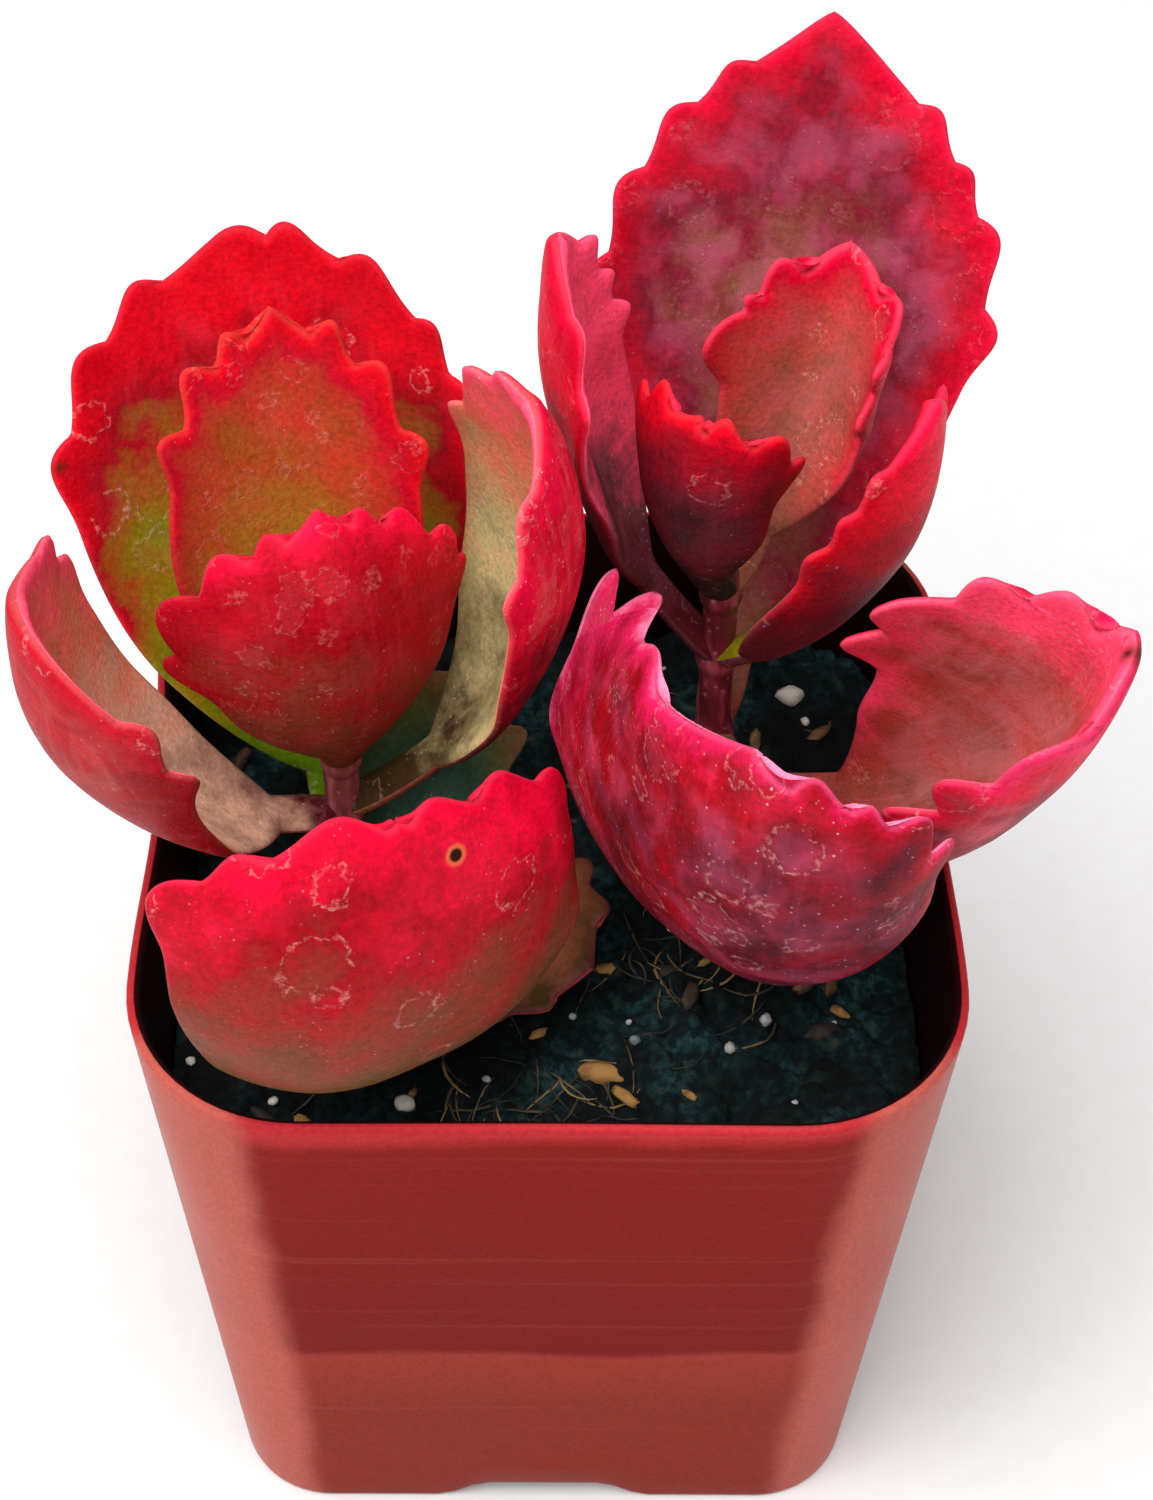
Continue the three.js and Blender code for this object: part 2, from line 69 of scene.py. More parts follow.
pot_low, pot_high = (np.array(corner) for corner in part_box("pot"))
pot_axis = np.array([(pot_low[0] + pot_high[0]) / 2, (pot_low[1] + pot_high[1]) / 2, 0.0])
print("model box", [round(v, 4) for corner in cad_box for v in corner])
print("pot axis", pot_axis.round(5))

# %% [markdown]
# ## Camera
#
# The photograph looks down on the plant from the front. The camera is given the way a photographer would
# say it: how high it looks from, how far away it stands, what it aims at and how much it leans. Its long
# lens comes from the picture's own perspective: the pot narrows towards its foot more than the real pot
# does.

# %% Camera
VIEW = {
    "elevation": 49.5, "yaw": -1.0, "roll": 1.1, "distance": 302.6, "lens": 91.06, "aim": (2.2, 4.9, 64.0),
}
SENSOR_MM = 36.0
NEAREST_SEEN = 0.01


def make_camera(view):
    """Stands on a sphere round the aim: back points from the aim to the camera, and roll leans it."""
    elevation, yaw, roll = (np.radians(view[key]) for key in ("elevation", "yaw", "roll"))
    back = np.array([np.sin(yaw) * np.cos(elevation), -np.cos(yaw) * np.cos(elevation), np.sin(elevation)])
    level = np.array([np.cos(yaw), np.sin(yaw), 0.0])
    above = np.cross(back, level)
    right = np.cos(roll) * level + np.sin(roll) * above
    up = np.cos(roll) * above - np.sin(roll) * level
    place = pot_axis + MM * (np.array(view["aim"]) + back * view["distance"])
    camera = bpy.data.objects.new("camera", bpy.data.cameras.new("camera"))
    camera.data.lens = view["lens"]
    camera.data.sensor_fit = "VERTICAL"
    camera.data.sensor_width = camera.data.sensor_height = SENSOR_MM
    camera.data.clip_start = NEAREST_SEEN
    turn = Matrix(np.column_stack([right, up, back]).tolist()).to_4x4()
    camera.matrix_world = Matrix.Translation(Vector(place)) @ turn
    bpy.context.collection.objects.link(camera)
    return camera


bpy.context.scene.camera = make_camera(VIEW)
print("camera stands", round(VIEW["distance"]), "mm from the plant")

# %% [markdown]
# ## Measures
#
# Everything that the plant is made from, in millimetres and degrees from the pot's axis. A shoot stands on
# its foot and has joints at the heights of its nodes. A leaf's name says which shoot and node it grows
# from and which way it looks. `turn` is the way it points, counted from the +X axis, and `swing` how far
# that bends by the tip. `rise` is its slope at the stem and at the tip, and with a higher `pace` more of
# the bend comes near the tip. `width` is that of the left half, and `share` the right half's part of it.
# `form` makes the outline blunt or slender. `roll` leans the leaf round its midrib, and `twist` adds to
# that by the tip. `cup` is the slope and the curl of each half across the midrib. `notches` are the dips
# between the lobes of its margin, as shares of its length, `depth` is how far the lobes stand out, and
# `lobe` shapes them.

# %% Measures of the plant
SHOOTS = {
    "left": {"foot": (-16.2, -1.0), "nodes": (53.3, 56.5, 63.5, 70.0)},
    "right": {"foot": (13.3, 9.5), "nodes": (54.0, 61.5, 70.0, 77.5)},
}
PLAIN_LEAF = dict(swing=0, pace=1, share=1, roll=0, twist=0, lobe=(2.1, 1.0))
LEAVES = {
    "left_leaf_0_right": dict(
        turn=-29, rise=(-1, 22), length=23, stalk=5, width=7.9, form=(0.9, 0.5),
        roll=1, cup=((6, 25), (2, 20)), depth=1.2, notches=((0.5, 0.68, 0.84), (0.5, 0.68, 0.84)),
    ),
    "left_leaf_0_back": dict(
        turn=63, rise=(15, 28), length=20.5, stalk=4.6, width=8, form=(0.9, 0.5),
        cup=((5, 20), (5, 18)), depth=1.2, notches=((0.5, 0.68, 0.84), (0.5, 0.68, 0.84)),
    ),
    "left_leaf_1_back": dict(
        turn=103, swing=-2, rise=(43, 74), length=52, stalk=8, width=17.4,
        share=0.84, form=(0.85, 0.55), roll=-4, twist=-3, cup=((-1, 33), (2, 34)), depth=1.6,
        notches=((0.46, 0.61, 0.745, 0.85, 1), (0.5, 0.645, 0.74, 0.88, 1)),
    ),
    "left_leaf_1_front": dict(
        turn=-79, swing=7, rise=(-10, 131), pace=1.14, length=59, stalk=8,
        width=18.3, share=1.03, form=(0.86, 0.2), roll=6, twist=7, cup=((-5, 56), (-6, 68)), depth=1.8,
        lobe=(1.5, 1.2), notches=((0.65, 0.8, 0.905, 0.99), (0.64, 0.8, 0.867, 0.985)),
    ),
    "left_leaf_2_left": dict(
        turn=200, swing=5, rise=(10, 100), length=45, stalk=6, width=13.7,
        share=0.86, form=(0.88, 0.4), roll=-7, twist=-8, cup=((12, 64), (12, 16)), depth=1.4,
        notches=((0.45, 0.62, 0.76), (0.5, 0.66, 0.82)),
    ),
    "left_leaf_2_right": dict(
        turn=9, swing=2, rise=(26, 115), length=50.5, stalk=9.3, width=13,
        share=0.91, form=(0.94, 0.49), roll=-5, twist=9, cup=((15, 27), (22, 26)), depth=1.4,
        notches=((0.5, 0.66, 0.83, 0.95), (0.56, 0.7, 0.85)),
    ),
    "left_leaf_3_back": dict(
        turn=105, swing=4, rise=(56, 71), length=36.5, stalk=5, width=11.2,
        share=0.85, form=(0.85, 0.7), roll=-2, twist=-1, cup=((9, 25), (11, 26)), depth=2.1,
        notches=((0.575, 0.715, 0.845, 0.93), (0.47, 0.62, 0.785, 0.9)),
    ),
    "left_leaf_3_front": dict(
        turn=-77, swing=7, rise=(47, 136), length=29, stalk=5.3, width=13.2,
        form=(0.9, 0.62), roll=4, twist=1, cup=((12, 40), (8, 41)), depth=2, lobe=(1.7, 0.8),
        notches=((0.38, 0.52, 0.68, 0.85, 0.94), (0.3, 0.45, 0.69, 0.835, 0.92)),
    ),
    "right_leaf_0_right": dict(
        turn=-29, swing=-9, rise=(24, 78), pace=1.19, length=53.6, stalk=14.2,
        width=16.6, share=1.1, form=(1.11, 0.48), roll=40, twist=4, cup=((41, 52), (10, 92)), depth=2.9,
        lobe=(1.2, 1.1), notches=((0.35, 0.52, 0.725, 0.835, 0.945), (0.48, 0.605, 0.715, 0.86)),
    ),
    "right_leaf_1_back": dict(
        turn=73, swing=4, rise=(41, 75), length=59, stalk=9, width=15.5,
        share=0.95, form=(1.1, 0.85), roll=3, twist=1, cup=((8, 27), (5, 13)), depth=1.5,
        notches=((0.42, 0.55, 0.68, 0.79, 0.88), (0.42, 0.54, 0.665, 0.745, 0.835)),
    ),
    "right_leaf_1_front": dict(
        turn=-78, swing=-41, rise=(-15, 122), pace=1.19, length=61.5, stalk=7.7,
        width=17.15, share=1.76, form=(0.82, 0.32), roll=-16, twist=-1, cup=((2, 94), (4, 69)), depth=2.5,
        notches=((0.6, 0.72, 0.835, 0.885, 0.955), (0.46, 0.595, 0.75, 0.89)),
    ),
    "right_leaf_2_left": dict(
        turn=165, swing=6, rise=(45, 98), length=45, stalk=10.2, width=8.3,
        share=0.88, form=(0.89, 0.57), roll=5, twist=4, cup=((21, 1), (17, 44)), depth=1.3,
        notches=((0.55, 0.7, 0.85), (0.5, 0.62, 0.71, 0.83)),
    ),
    "right_leaf_2_right": dict(
        turn=-25, swing=-1, rise=(35, 97), length=40, stalk=5.7, width=9.5,
        share=0.95, form=(0.6, 0.71), roll=-8, twist=10, cup=((9, 8), (17, 27)), depth=1.2,
        notches=((0.5, 0.63, 0.76, 0.88), (0.5, 0.64, 0.74, 0.85)),
    ),
    "right_leaf_3_back": dict(
        turn=58, swing=-7, rise=(35, 79), length=29.5, stalk=5.6, width=9.7,
        form=(1.04, 0.49), roll=24, twist=8, cup=((21, 29), (26, 76)), depth=2.6, lobe=(1.3, 1.1),
        notches=((0.4, 0.685, 0.745, 0.89), (0.4, 0.56, 0.7, 0.86)),
    ),
    "right_leaf_3_front": dict(
        turn=-125, swing=-13, rise=(52, 107), length=23.5, stalk=5.5, width=8.3,
        form=(1.01, 0.46), roll=5, twist=3, cup=((16, 66), (12, 33)), depth=1.8,
        notches=((0.35, 0.6, 0.83, 0.975), (0.45, 0.69, 0.87)),
    ),
}
for name, leaf in LEAVES.items():
    shoot, _, node, _ = name.split("_")
    LEAVES[name] = {**PLAIN_LEAF, **leaf, "shoot": shoot, "node": int(node)}
print(len(LEAVES), "leaves on", len(SHOOTS), "shoots")

# %% [markdown]
# ## Meshes from arrays
#
# A surface here is an array of points, so one helper turns arrays of vertices and faces into a mesh object,
# with values stored on its vertices for the materials to read. Leaves, pot and stems are all stacks of
# rings, so another helper joins a stack. A third makes smooth random relief: random heights on a square
# lattice, blended with a smoothstep between its corners.

# %% Mesh and noise helpers
LATTICE = 64


def mesh_object(name, vertices, faces, **values):
    """Makes a smooth mesh object, in metres. values are vertex attributes: numbers or vectors."""
    mesh = bpy.data.meshes.new(name)
    mesh.from_pydata(np.asarray(vertices).tolist(), [], [list(map(int, face)) for face in faces])
    mesh.update()
    mesh.polygons.foreach_set("use_smooth", np.ones(len(mesh.polygons), dtype=bool))
    for key, data in values.items():
        data = np.asarray(data, dtype=np.float32)
        kind, field = ("FLOAT", "value") if data.ndim == 1 else ("FLOAT_VECTOR", "vector")
        mesh.attributes.new(key, kind, "POINT").data.foreach_set(field, data.ravel())
    made = bpy.data.objects.new(name, mesh)
    bpy.context.collection.objects.link(made)
    return made


def dress(piece, material, slot, *nodes):
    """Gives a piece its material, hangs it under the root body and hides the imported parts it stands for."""
    piece.data.materials.append(material)
    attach(piece, "root")
    if nodes:
        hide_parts(*nodes)


def ring_stack(rings, low, high):
    """Joins rings of equal length with quads, and closes the ends with fans round the points low and high."""
    count = len(rings[0])
    vertices = np.vstack([*rings, [low, high]])
    first = np.arange(len(rings) - 1)[:, None] * count
    j = np.arange(count)
    k = (j + 1) % count
    quads = np.stack([first + j, first + k, first + count + k, first + count + j], axis=-1).reshape(-1, 4)
    top = (len(rings) - 1) * count
    under = np.column_stack([k, j, np.full(count, len(vertices) - 2)])
    over = np.column_stack([top + j, top + k, np.full(count, len(vertices) - 1)])
    return vertices, [*quads, *under, *over]


def smoothstep(t):
    """3 t^2 - 2 t^3, with t held between 0 and 1."""
    t = np.clip(t, 0, 1)
    return t * t * (3 - 2 * t)


def value_noise(x, y, cell, seed):
    """Smooth relief from -1 to 1: lattice heights a cell apart, blended by a smoothstep each way."""
    heights = np.random.default_rng(seed).uniform(-1, 1, (LATTICE, LATTICE))
    column, row = np.floor(x / cell).astype(int), np.floor(y / cell).astype(int)
    fx, fy = smoothstep(x / cell - column), smoothstep(y / cell - row)
    corner = [[heights[(column + i) % LATTICE, (row + j) % LATTICE] for j in (0, 1)] for i in (0, 1)]
    low = corner[0][0] * (1 - fx) + corner[1][0] * fx
    high = corner[0][1] * (1 - fx) + corner[1][1] * fx
    return low * (1 - fy) + high * fy


# %% [markdown]
# ## The flat leaf
#
# A real kalanchoe leaf is a fleshy blade on a short stalk, with a crenate margin: low lobes that lean
# towards the tip. It could be drawn as one curve by hand, but a formula keeps all fifteen alike. The smooth
# half outline is a power curve, and each lobe is one hump of a sine wave, skewed towards the tip, that
# pushes the margin out along its own normal.

# %% Outline of the flat leaf
STALK_HALF = 2.0
OUTLINE_POINTS = 801
LOBE_SINK = 0.55
FULL_LOBE = 0.12
TIP_NOTCH_FROM, TIP_NOTCH_SINK = 0.93, 0.25


def smooth_outline(leaf):
    """Half width = stalk half * sqrt(1 - x) + width * x^a (1 - x)^b / its peak, for x from stalk to tip."""
    a, b = leaf["form"]
    x = np.sin(np.linspace(0, np.pi / 2, OUTLINE_POINTS)) ** 2
    rest = np.clip(1 - x, 0, 1)
    peak = (a / (a + b)) ** a * (b / (a + b)) ** b
    along = leaf["stalk"] + (leaf["length"] - leaf["stalk"]) * x
    out = STALK_HALF * np.sqrt(rest) + leaf["width"] * x**a * rest**b / peak
    return along, out


def lobe_height(leaf, side, t):
    """Depth * (wide sin(pi phase^lean)^power - sink). The phase runs from notch to notch along share t."""
    lean, power = leaf["lobe"]
    notches = leaf["notches"][side]
    stops = np.array(notches if notches[-1] >= 1 else [*notches, 2 - notches[-1]])
    index = np.clip(np.searchsorted(stops, t, side="right") - 1, 0, len(stops) - 2)
    phase = np.clip((t - stops[index]) / (stops[index + 1] - stops[index]), 0, 1)
    wide = np.clip((stops[index + 1] - stops[index]) / FULL_LOBE, 0, 1)
    near_tip = np.clip((t - TIP_NOTCH_FROM) / (1 - TIP_NOTCH_FROM), 0, 1) * (notches[-1] >= 1)
    sink = LOBE_SINK * (1 - (1 - TIP_NOTCH_SINK) * near_tip)
    hump = wide * np.sin(np.pi * phase**lean) ** power - sink
    return leaf["depth"] * np.where(t < notches[0], -LOBE_SINK * smoothstep(2 * t / notches[0] - 1), hump)


def margin(leaf, side, t):
    """Smooth margin at shares t of its length, and how far along and across the lobes move it."""
    along, out = smooth_outline(leaf)
    travelled = np.append(0, np.cumsum(np.hypot(np.diff(along), np.diff(out))))
    travelled /= travelled[-1]
    tangent = np.gradient(along, travelled), np.gradient(out, travelled)
    length = np.hypot(*tangent)
    slope = [np.interp(t, travelled, part / length) for part in tangent]
    height = lobe_height(leaf, side, t)
    u, h = np.interp(t, travelled, along), np.interp(t, travelled, out)
    return u, h, -height * slope[1], np.where(t < 1, np.maximum(height * slope[0], -h), 0)


left_margin = margin(LEAVES["left_leaf_1_back"], 0, np.linspace(0, 1, 9))
print("widest of the left back leaf's left half", round(float(left_margin[1].max()), 1), "mm")

# %% [markdown]
# ## A grid over the leaf
#
# The blade is covered by ribs that fan out from the midrib to both margins, the way its side veins run. They
# leave the midrib squarely near the stalk and slant more and more towards the tip, so that they never
# cross. Only the outer part of a rib feels the lobes. The points lie closer together at the rim, where the
# thickness rounds off.

# %% Grid over the flat leaf
RIB_SLANT = 0.35
RIB_SLANT_FROM, RIB_SLANT_OVER = 0.1, 0.5
STALK_ROWS = 12
STALK_START = 0.6
STALK_PINCH = 0.72
STALK_FULL_AT = 4.0
INNER_COLUMNS = 16
RIM_COLUMNS = 6
RIM_RADIUS = 0.8
LOBE_FROM = 0.5
LOBE_FEEL = 1.5


def flat_grid(leaf, rows):
    """Points (along, across, share q) of the sheet, ribs down and columns from left to right margin."""
    t = np.linspace(0, 1, rows + 1)
    u, h, _, _ = margin(leaf, 0, t)
    middle = u - RIB_SLANT * smoothstep((t - RIB_SLANT_FROM) / RIB_SLANT_OVER) * h
    apex = leaf["length"] + margin(leaf, 0, t[-1:])[2][0]
    stretch = (apex - leaf["stalk"]) / (leaf["length"] - leaf["stalk"])
    middle = leaf["stalk"] + (middle - leaf["stalk"]) * stretch
    stalk = np.linspace(STALK_START, leaf["stalk"], STALK_ROWS + 1)[:-1]
    swell = np.sin(np.pi / 2 * np.clip(stalk / STALK_FULL_AT, 0, 1))
    base_half = STALK_HALF * (STALK_PINCH + (1 - STALK_PINCH) * swell)
    middle, u, h = np.append(stalk, middle), np.append(stalk, u), np.append(base_half, h)
    inner = np.linspace(0, 1, INNER_COLUMNS + 1)
    rim = 1 - np.cos(np.linspace(0, np.pi / 2, RIM_COLUMNS + 1))[1:]
    start = 1 - np.clip(RIM_RADIUS / np.maximum(h, 1e-6), 0, 0.5)[:, None]
    q = np.concatenate([start * inner, start + (1 - start) * np.sort(np.append(rim[:-1], 1.0))], axis=1)
    feel = np.clip((q - LOBE_FROM) / (1 - LOBE_FROM), 0, 1) ** LOBE_FEEL
    halves = []
    for side in (0, 1):
        _, _, forth, out = (np.append(np.zeros(STALK_ROWS), part) for part in margin(leaf, side, t))
        along = middle[:, None] + (u - middle)[:, None] * q + forth[:, None] * feel
        halves.append((along, h[:, None] * q + out[:, None] * feel, q))
    left = [part[:, ::-1] for part in halves[0]]
    along, across, q = (np.concatenate([a, b[:, 1:]], axis=1) for a, b in zip(left, halves[1]))
    half_count = INNER_COLUMNS + RIM_COLUMNS
    sign = np.append(np.ones(half_count + 1), -np.ones(half_count))
    return along, across * sign, q * sign


grid = flat_grid(LEAVES["left_leaf_1_back"], 200)
print("grid of the left back leaf", grid[0].shape)

# %% [markdown]
# ## Bending the leaf
#
# A leaf is not drawn bent. The flat sheet is laid along a curved midrib, whose slope and direction change
# steadily from stem to tip, and each half is rolled into an arc across it. Because the flat places are kept
# as vertex values, colours and marks can later follow the leaf instead of the room.

# %% Bend the sheet in space
MIDRIB_SOFT = 2.5
SPINE_STEPS = 400


def spine(leaf):
    """Midrib: the running sum of short steps whose slope and heading change from stem to tip."""
    share = np.linspace(0, 1, SPINE_STEPS + 1)
    rise = np.radians(leaf["rise"][0] + (leaf["rise"][1] - leaf["rise"][0]) * share ** leaf["pace"])
    heading = np.radians(leaf["turn"] + leaf["swing"] * share)
    flat = np.cos(rise)
    forward = np.column_stack([flat * np.cos(heading), flat * np.sin(heading), np.sin(rise)])
    shoot = SHOOTS[leaf["shoot"]]
    base = np.array([*shoot["foot"], shoot["nodes"][leaf["node"]]])
    step = (forward[1:] + forward[:-1]) / 2 * leaf["length"] / SPINE_STEPS
    points = base + np.vstack([np.zeros(3), np.cumsum(step, axis=0)])
    return share * leaf["length"], points, forward, heading


def turned(vector, axis, angle):
    """Rodrigues' formula: v cos + (axis x v) sin, for a vector at right angles to the axis."""
    return vector * np.cos(angle)[..., None] + np.cross(axis, vector) * np.sin(angle)[..., None]


def bend(leaf, along, across):
    """Place and normal of flat points: midrib place, plus an arc across it that curls each half up.

    Within a soft distance w of the midrib the fold is rounded. With a = tan(first slope) and m the mean of
    both sides, the lift a y gains a w / 2 (1 - y / w)^2 + (m - a) w / 2 (1 - y / w)^3.
    """
    places, points, forward, heading = spine(leaf)
    u = np.clip(along, 0, leaf["length"])
    centre = np.stack([np.interp(u, places, points[:, k]) for k in range(3)], axis=-1)
    ahead = np.stack([np.interp(u, places, forward[:, k]) for k in range(3)], axis=-1)
    ahead /= np.linalg.norm(ahead, axis=-1, keepdims=True)
    centre = centre + ahead * np.maximum(along - leaf["length"], 0)[..., None]
    angle = np.interp(u, places, heading)
    level = np.stack([-np.sin(angle), np.cos(angle), 0 * angle], axis=-1)
    roll = np.radians(leaf["roll"] + leaf["twist"] * u / leaf["length"])
    side = turned(level, ahead, roll)
    up = np.cross(ahead, side)
    left = across >= 0
    reach = np.where(left, 1, leaf["share"])
    first, curl = (np.radians(np.where(left, *pair)) for pair in zip(*leaf["cup"]))
    rate = curl / (leaf["width"] * reach)
    slope = first + rate * np.abs(across) * reach
    sideways = np.where(left, 1, -1) * (np.sin(slope) - np.sin(first)) / rate
    steep, mean = np.tan(first), np.mean([np.tan(np.radians(pair[0])) for pair in leaf["cup"]])
    far = 1 - np.clip(np.abs(across) / MIDRIB_SOFT, 0, 1)
    rounding = MIDRIB_SOFT / 2 * (steep * far**2 + (mean - steep) * far**3)
    lift = (np.cos(first) - np.cos(slope)) / rate + rounding
    place = centre + side * sideways[..., None] + up * lift[..., None]
    soft = np.arctan(steep * (1 - far) - 1.5 * (mean - steep) * far**2)
    lean = (slope - first + soft) * np.where(left, 1, -1)
    normal = up * np.cos(lean)[..., None] - side * np.sin(lean)[..., None]
    return place, normal


tip_place, _ = bend(LEAVES["right_leaf_1_back"], np.array([59.0]), np.array([0.0]))
print("tip of the tallest leaf, mm from the pot's axis", tip_place[0].round(1))

# %% [markdown]
# ## The fleshy leaf
#
# The blade is thickest along the midrib and thins to a round rim. The half thickness is therefore a smooth
# dome across the leaf times a quarter ellipse over the last millimetre. Both faces share a low, slow
# unevenness, and the margin ripples a little where the lobes are.

# %% Leaf solid
MID_THICK = (2.3, 1.6)
RIM_THICK = 0.7
UNEVEN = ((11.0, 0.28), (4.5, 0.07))
RIPPLE_CELL = 7.0
RIPPLE_HEIGHT = 0.45
RIPPLE_REACH = 4.0
RELIEF_FADE = 8.0
RELIEF_SHIFT = 40
EDGE_POINTS, STALK_POINTS = 500, 30


def rim_distance(along, across, leaf):
    """Distance from each flat point to the nearest point of the lobed margin, in mm."""
    edges = []
    for side, hand in ((0, 1), (1, -leaf["share"])):
        u, h, forth, out = margin(leaf, side, np.linspace(0, 1, EDGE_POINTS))
        stalk = np.linspace(0, leaf["stalk"], STALK_POINTS)
        half = np.append(np.full(STALK_POINTS, STALK_HALF), h + out)
        edges.append(np.column_stack([np.append(stalk, u + forth), hand * half]))
    edges = np.vstack(edges)
    points = np.column_stack([along.ravel(), across.ravel()])
    nearest = [np.sqrt(((block[:, None] - edges) ** 2).sum(-1).min(1)) for block in np.array_split(points, 8)]
    return np.concatenate(nearest).reshape(along.shape)


def leaf_seed(name):
    """A number of its own for each leaf, for its noise."""
    return float(sum(map(ord, name)) % 97)


def leaf_mesh(name, leaf, rows):
    """A closed skin: both faces of the sheet, half a thickness each way along its normal."""
    along, across, q = flat_grid(leaf, rows)
    place, normal = bend(leaf, along, across)
    flat_across = np.where(across < 0, across * leaf["share"], across)
    widest = np.abs(flat_across[:, [0, -1]])
    rib_reach = np.where(across >= 0, widest[:, :1], widest[:, 1:]) * (1 - np.abs(q))
    rim = np.minimum(rim_distance(along, flat_across, leaf), rib_reach)
    share = np.clip(along / leaf["length"], 0, 1)
    middle = MID_THICK[0] + (MID_THICK[1] - MID_THICK[0]) * share
    dome = RIM_THICK + (middle - RIM_THICK) * (1 - q**2)
    half = dome / 2 * np.sqrt(1 - (1 - np.clip(rim / RIM_RADIUS, 0, 1)) ** 2)
    seed = int(leaf_seed(name))
    blade = np.clip((along - leaf["stalk"]) / RELIEF_FADE, 0, 1)
    noise_place = along, flat_across + RELIEF_SHIFT
    relief = sum(height * value_noise(*noise_place, cell, seed + int(cell)) for cell, height in UNEVEN)
    ripple = value_noise(*noise_place, RIPPLE_CELL, seed)
    relief = relief + RIPPLE_HEIGHT * ripple * np.exp(-((rim / RIPPLE_REACH) ** 2))
    place = place + normal * (relief * blade)[..., None]
    top, bottom = place + normal * half[..., None], place - normal * half[..., None]
    midrib = along.shape[1] // 2
    ring = np.concatenate([top[:-1], bottom[:-1, -2:0:-1]], axis=1)
    vertices, faces = ring_stack(ring, place[0, midrib], top[-1, midrib])

    def on_ring(field, flip=1):
        both = np.concatenate([field[:-1], flip * field[:-1, -2:0:-1]], axis=1).ravel()
        return np.append(both, [field[0, midrib], field[-1, midrib]])

    upper = np.ones_like(along)
    upper[:, [0, -1]] = 0
    flat = np.column_stack([on_ring(flat_across), on_ring(along), np.full(len(vertices), seed)])
    zone = np.column_stack([on_ring(np.abs(q)), on_ring(share), on_ring(upper, -1)])
    placed = vertices * MM + pot_axis
    return mesh_object(f"{name}_blade", placed, faces, flat_mm=flat, zone=zone, rim_mm=on_ring(rim))


ROWS_PER_MM = 3.4
leaf_pieces = {}
for name, leaf in LEAVES.items():
    rows = int(leaf["length"] * ROWS_PER_MM)
    leaf_pieces[name] = leaf_mesh(name, leaf, rows)
faces = sum(len(piece.data.polygons) for piece in leaf_pieces.values())
print(len(leaf_pieces), "leaves,", faces, "faces")

# %% [markdown]
# ## Colours and nodes
#
# Colours are read off as sRGB hex codes and must become linear light before Blender uses them. One small
# helper adds a shader node, sets what it needs and links it, so that a material reads as a short recipe.

# %% Colour and node helpers
MODES = {"Math": "operation", "VectorMath": "operation", "Mix": "data_type", "MapRange": "interpolation_type"}


def linear(code):
    """sRGB to linear light: c / 12.92 when dark, otherwise ((c + 0.055) / 1.055) ^ 2.4."""
    c = np.array([int(code[i : i + 2], 16) for i in (1, 3, 5)]) / 255
    light = np.where(c <= 0.04045, c / 12.92, ((c + 0.055) / 1.055) ** 2.4)
    return (*light.tolist(), 1.0)


def add_node(tree, kind, *inputs, stops=(), **named):
    """Adds one node of a kind, with its mode after a space. inputs fill its open sockets in order.

    named holds more sockets, whose names start with a capital, and settings of the node, whose names don't.
    An input is a value, a colour code, a socket or a node, whose first output counts. stops: a colour ramp.
    """
    kind, _, mode = kind.partition(" ")
    node = tree.nodes.new(f"ShaderNode{kind}")
    if mode:
        setattr(node, MODES[kind], mode)
    for key, value in named.items():
        if key.islower():
            setattr(node, key, value)
    pairs = list(zip([socket for socket in node.inputs if socket.enabled], inputs))
    pairs += [(node.inputs[key], value) for key, value in named.items() if not key.islower()]
    for socket, value in pairs:
        if isinstance(value, bpy.types.Node):
            value = first_output(value)
        if isinstance(value, bpy.types.NodeSocket):
            tree.links.new(value, socket)
        else:
            socket.default_value = linear(value) if isinstance(value, str) else value
    for index, (position, code) in enumerate(stops):
        elements = node.color_ramp.elements
        element = elements[index] if index < 2 else elements.new(position)
        element.position, element.color = position, linear(code)
    return node


def first_output(node):
    """The first output that the node's mode leaves open."""
    return next(out for out in node.outputs if out.enabled)


def new_finish(name, **values):
    """A material and its Principled shader with plain values, and the helper that adds nodes to its tree."""
    material = bpy.data.materials.new(name)
    material.use_nodes = True
    shader = material.node_tree.nodes["Principled BSDF"]
    for key, value in values.items():
        shader.inputs[key.replace("_", " ")].default_value = value
    return material, shader, partial(add_node, material.node_tree)


def wire(shader, colour, height, strength, distance, rough=None):
    """Links colour, relief (height is a node, distance is in metres) and roughness, if any, to the shader."""
    tree = shader.id_data
    bump = add_node(tree, "Bump", Height=height, Strength=strength, Distance=distance)
    for node, socket in ((colour, "Base Color"), (bump, "Normal"), (rough, "Roughness")):
        if node is not None:
            tree.links.new(first_output(node), shader.inputs[socket])


print("scarlet in linear light", [round(v, 3) for v in linear("#d81425")])
